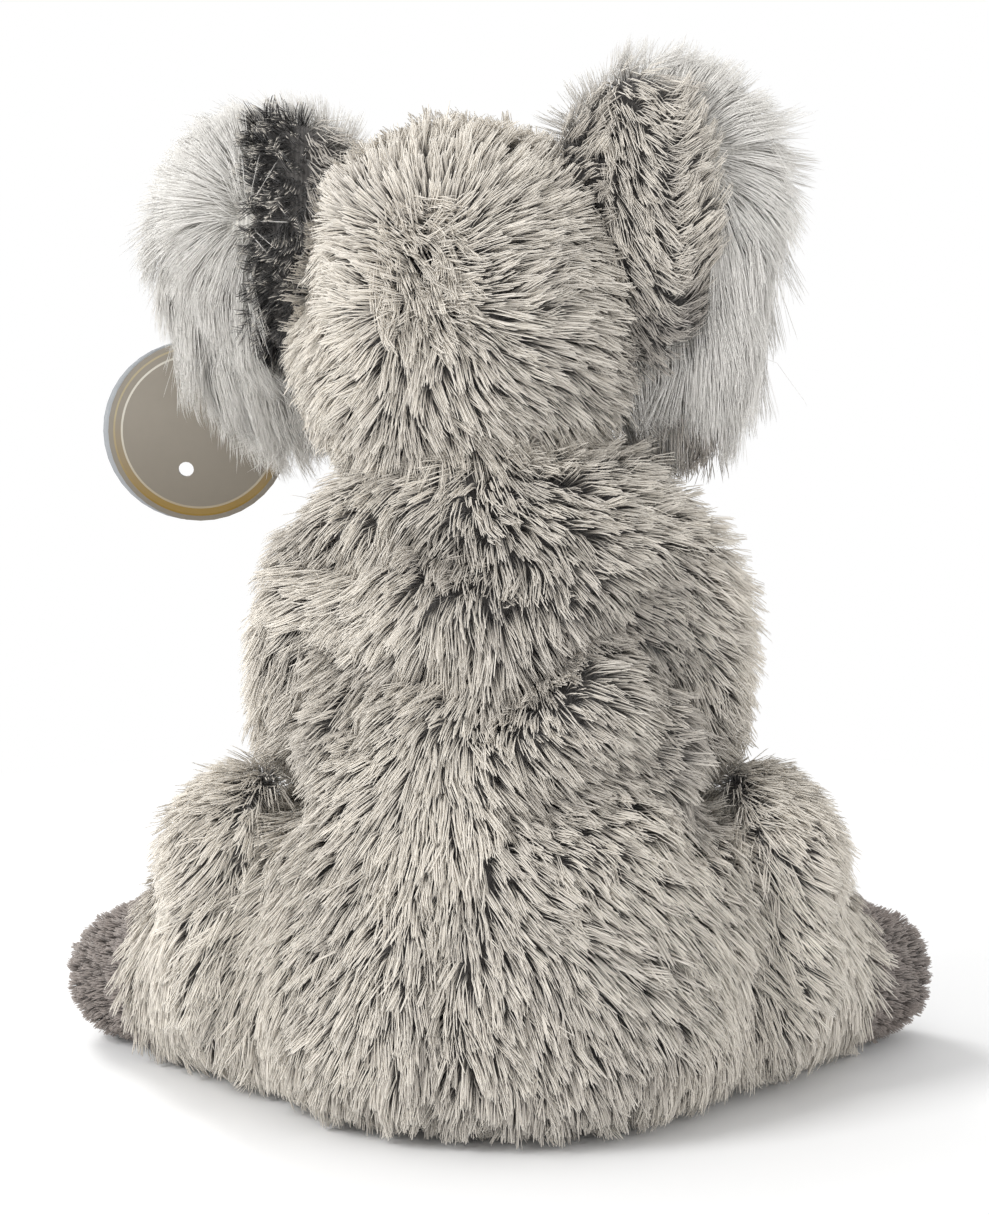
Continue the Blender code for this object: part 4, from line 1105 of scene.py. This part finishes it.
WHITE_LONG = {
    **LONG_GREY,
    "density": 3.1e6,
    "width": 0.00022,
    "tip": 0.45,
    "locks": 0.02,
    "gather": 0.28,
    "stray": 0.10,
    "length": white_length,
    "lift": swelling(0.24, 0.05, 0.020, 15),
    "tone": white_tone,
    "finish": WHITE_FUR,
    "slot": "white_plush",
}
EAR_GREY = {
    **LONG_GREY,
    "density": 2.2e6,
    "width": 0.00030,
    "length": swelling(0.0072, 0.0005, 0.020, 23),
    "lift": swelling(0.58, 0.08, 0.020, 24),
    "tone": swelling(0.60, 0.12, 0.012, 21),
}
EAR_BLACK = {
    **EAR_GREY,
    "density": 3.0e6,
    "width": 0.00026,
    "stray": 0.8,
    "length": swelling(0.0055, 0.0005, 0.020, 26),
    "lift": swelling(0.95, 0.20, 0.010, 27),
    "tone": black_tone,
    "finish": BLACK_FUR,
}
EAR_TIP = {
    **EAR_GREY,
    "length": swelling(0.0125, 0.0010, 0.012, 29),
    "lift": swelling(0.30, 0.05, 0.020, 30),
    "tone": swelling(0.25, 0.10, 0.012, 28),
}
EAR_FUR = {  # cover, flow, pile, part and tag
    "left": (
        (0, left_back_flow, EAR_BLACK, between(LEFT_BLACK_EDGE, LEFT_WHITE_EDGE), "_dark"),
        (0, left_back_flow, {**EAR_GREY, "tone": left_tone}, between(-math.inf, LEFT_BLACK_EDGE), ""),
        (1, white_flow, WHITE_LONG, white_part, ""),
    ),
    "right": (
        (0, right_back_flow, {**EAR_GREY, "tone": right_tone}, between(-math.inf, RIGHT_HEAD_EDGE), ""),
        (0, right_base_flow, EAR_GREY, between(RIGHT_HEAD_EDGE, math.inf), "_base"),
        (1, tip_flow, EAR_TIP, tip_part, "_tip"),
        (1, white_flow, WHITE_LONG, above_tip, ""),
    ),
}
for word, way in (("left", 1), ("right", -1)):
    body, covers = f"ear_{word}", (f"ear_{word}_back", f"ear_{word}_front")
    ear = melt(f"{body}_skin", covers, EAR_VOXEL, EAR_SMOOTHING)
    middle, outward = middle_of(covers[0]), HEAD_LEFT * way
    points = points_of(ear.data)
    reach = points - middle + outward * EAR_ROOT
    drawn = smooth_step(*LOOP_CLEAR, far_from(points, LOOP))
    out_share, up_share, down_share = EAR_DRAWN_IN[word]
    out, up = np.maximum(reach @ outward, 0.0) * out_share, reach @ HEAD_UP
    up *= np.where(up > 0.0, up_share, down_share)
    if word == "right":
        sag = smooth_step(*TIP_START, reach @ HEAD_UP)
        out, up = out + TIP_TURN_IN * sag, up + TIP_SAG * sag
        corner = smooth_step(*CORNER_RISE, reach @ HEAD_UP) * smooth_step(*CORNER_IN, reach @ outward)
        out -= TOP_CORNER * corner
    set_points(ear.data, points - outward * (out * drawn)[:, None] - HEAD_UP * (up * drawn)[:, None])
    lowest = points_of(ear.data)[:, 2].min()
    centres = rows_of(ear.data.polygons, "center")
    white = (nearest_cover(centres, covers) == 1) | (centres[:, 0] > LEFT_WHITE_EDGE)
    back_with(ear, (GREY_BACKING, WHITE_BACKING), white.astype(int))
    fit(ear, body, "grey_plush", *covers)
    for cover, flow, pile, part, tag in EAR_FUR[word]:
        dress(body, ear, covers[cover], covers, flow, pile, where=part, tag=tag)


# Limbs: grey sleeves and trouser legs, sewn into the body's side seams and stuffed.
# The paws and feet are of short taupe pile, sewn on at the ends.
def foot_flow(points, ways):
    return brushed(points, np.sign(points[:, 0]) * 0.7, -0.75, -0.15)


def crest_flow(points, ways):
    """Out, back and down over the parting on top of each thigh."""
    return swirled(brushed(points, 0.75 * np.sign(points[:, 0]), 0.55, -0.35), ways, points, 0.30, 0.015, 67)


def crest_part(points, own):
    return own & (thigh_crest(points) > 0.12)


SHORT_TAUPE = {
    **LONG_GREY,
    "density": 3.0e6,
    "width": 0.00031,
    "locks": 0.10,
    "gather": 0.25,
    "stray": 0.22,
    "rings": 2,
    "length": swelling(0.0030, 0.0003, 0.012, 31),
    "lift": swelling(0.62, 0.06, 0.010, 33),
    "tone": swelling(0.50, 0.25, 0.010, 32),
    "finish": TAUPE_FUR,
    "slot": "taupe_plush",
}
LIMB_GREY = {**LONG_GREY, "density": 1.7e6, "width": 0.00038}
CREST_GREY = {**LIMB_GREY, "density": 2.4e6, "lift": swelling(0.50, 0.08, 0.010, 68)}
for word in ("left", "right"):
    for body in (f"arm_{word}", f"leg_{word}"):
        sleeve, end = COVERS[body]
        dress(body, skins[body], sleeve, COVERS[body], trunk_flow, LIMB_GREY, bared[body])
        dress(body, skins[body], end, COVERS[body], foot_flow, SHORT_TAUPE, bared[body])
    dress(body, skins[body], sleeve, COVERS[body], crest_flow, CREST_GREY, bared[body], crest_part, "_crest")


# Stuffing: loose polyester fibre, pushed into the torso, the head and the limbs before the last seams are shut.
# A cotton bag of pellets lies in the seat and keeps the koala upright.
FOLDS_WITHIN = 1.2  # how much deeper than in the cloth the folds are in the stuffing
FIBRE_SEED = 40


def fibre_finish():
    fibre = Finish("stuffing_fibre", Roughness=0.95, Sheen_Weight=0.4)
    tangle = fibre.noise(700.0, 6.0, fibre.place())
    fibre.mottle(tangle, (0.78, 0.78, 0.76), (0.90, 0.90, 0.88))
    fibre.bump(tangle, 0.8, 0.0006)
    return fibre.material


def bag_finish():
    cotton = Finish("pellet_bag_cloth", Roughness=0.9)
    weave = cotton.add("ShaderNodeTexBrick", None, {"Vector": cotton.place(), "Scale": 900.0})
    cotton.mottle(weave, (0.72, 0.69, 0.62), (0.84, 0.82, 0.76))
    cotton.bump(weave, 0.3, 0.0002)
    return cotton.material


def lumpy(name, node, body, voxel, lump, size, finish, slot, seed):
    """A soft filling whose face is dented here and there, always inwards."""
    mass = melt(name, (node,), voxel, 2)
    points, ways = points_of(mass.data), normals_of(mass.data)
    dent = lump * (0.5 + 0.5 * np.clip(waves(points, size, seed), -1.0, 1.0)) + lump * 0.2
    dent += FOLDS_WITHIN * fold_depth(points) * smooth_step(0.0, 0.4, ways[:, 1])
    set_points(mass.data, points - ways * dent[:, None])
    mass.data.materials.append(finish)
    mass.data.shade_smooth()
    fit(mass, body, slot, node)


FIBRE = fibre_finish()
for index, (body, node) in enumerate(STUFFING.items()):
    lumpy(f"{body}_fibre", node, body, 0.0024, 0.0012, 0.014, FIBRE, "fibre", FIBRE_SEED + index)
lumpy("pellet_bag_cloth", "pellet_bag", "torso", 0.0016, 0.0008, 0.005, bag_finish(), "pellet_cloth", 50)


# Swing tag: a round card folded at its side, blank, with a silver front leaf and a thin gold edge.
# The card is punched near its edge, and hangs from the left ear on a loop of clear plastic.
def card_finish(name, middle, bands, gloss):
    """Coated card: a colour for each band out from the card's middle, browner and darker towards its foot,
    where the darkening is painted shade from the ear.

    A band is the share of the radius where it starts, its colours above and below, and how metallic it is.
    """
    card = Finish(name, Specular_IOR_Level=0.5)
    place = card.place()
    off = card.add("ShaderNodeVectorMath", {"operation": "SUBTRACT"}, {0: place, 1: tuple(middle)})
    flat = card.add("ShaderNodeVectorMath", {"operation": "MULTIPLY"}, {0: off, 1: (1.0, 0.0, 1.0)})
    far = card.add("ShaderNodeVectorMath", {"operation": "LENGTH"}, {0: flat}, output=1)
    drop = card.add("ShaderNodeSeparateXYZ", None, {0: off}, output=2)
    # How far the painted shade of the card's foot has come in
    fall = {"Value": drop, "From Min": 0.2 * TAG_RADIUS, "From Max": -0.8 * TAG_RADIUS}
    low = card.add("ShaderNodeMapRange", {"clamp": True}, fall)
    fibres = card.noise(420.0, 5.0, place)
    colour, metal = None, 0.0
    for start, above, below, shine in bands:
        stock = card.blend(low, above, below)
        if colour is None:
            colour = stock
        else:
            past = far > start * TAG_RADIUS
            colour = card.blend(past, colour, stock)
            metal = past * (shine - metal) + metal
    card.mottle(0.12 * fibres, colour, (0.10, 0.09, 0.08))
    card.give("Roughness", gloss + 0.15 * fibres)
    card.give("Metallic", metal)
    card.bump(fibres, 0.12, 0.0001)
    return card.material


# Each band's second colour is its colour at the card's foot, darkened there by painted shade
CARD_CREAM, CARD_PAINTED_SHADE = (0.245, 0.218, 0.178), (0.175, 0.152, 0.118)
GOLD, DARK_GOLD = (0.40, 0.34, 0.22), (0.22, 0.135, 0.02)
SILVER, SILVER_PAINTED_SHADE = (0.42, 0.44, 0.46), (0.34, 0.35, 0.37)
# A painted highlight along the back leaf's embossed bevel, a thin pale ring near its edge, with painted shade
# at the foot
BEVEL_PAINTED_HIGHLIGHT, BEVEL_HIGHLIGHT_PAINTED_SHADE = (0.56, 0.53, 0.46), (0.30, 0.25, 0.17)
BACK_BANDS = (
    (0.0, CARD_CREAM, CARD_PAINTED_SHADE, 0.0),
    (0.840, BEVEL_PAINTED_HIGHLIGHT, BEVEL_HIGHLIGHT_PAINTED_SHADE, 0.0),
    (0.862, CARD_CREAM, DARK_GOLD, 0.0),
    (0.925, GOLD, DARK_GOLD, 0.5),
    (0.945, CARD_CREAM, CARD_PAINTED_SHADE, 0.0),
)
FRONT_BANDS = (
    (0.0, CARD_CREAM, CARD_PAINTED_SHADE, 0.0),
    (0.86, GOLD, DARK_GOLD, 0.6),
    (0.90, SILVER, SILVER_PAINTED_SHADE, 0.5),
)
FRONT_ASIDE = 0.0012
FRONT_MIDDLE = TAG_MIDDLE + np.array((FRONT_ASIDE, 0.0, 0.0))
repaint("tag_back_leaf", card_finish("back_leaf_card", TAG_MIDDLE, BACK_BANDS, 0.36))
repaint("tag_front_leaf", card_finish("front_leaf_card", FRONT_MIDDLE, FRONT_BANDS, 0.32))


def loop_finish():
    clear = Finish("clear_loop", Base_Color=(0.92, 0.93, 0.93, 1.0), Transmission_Weight=0.85, IOR=1.45)
    haze = clear.noise(900.0, 2.0, clear.place())
    clear.give("Roughness", 0.12 + 0.12 * haze)
    return clear.material


repaint("tag_loop", loop_finish())
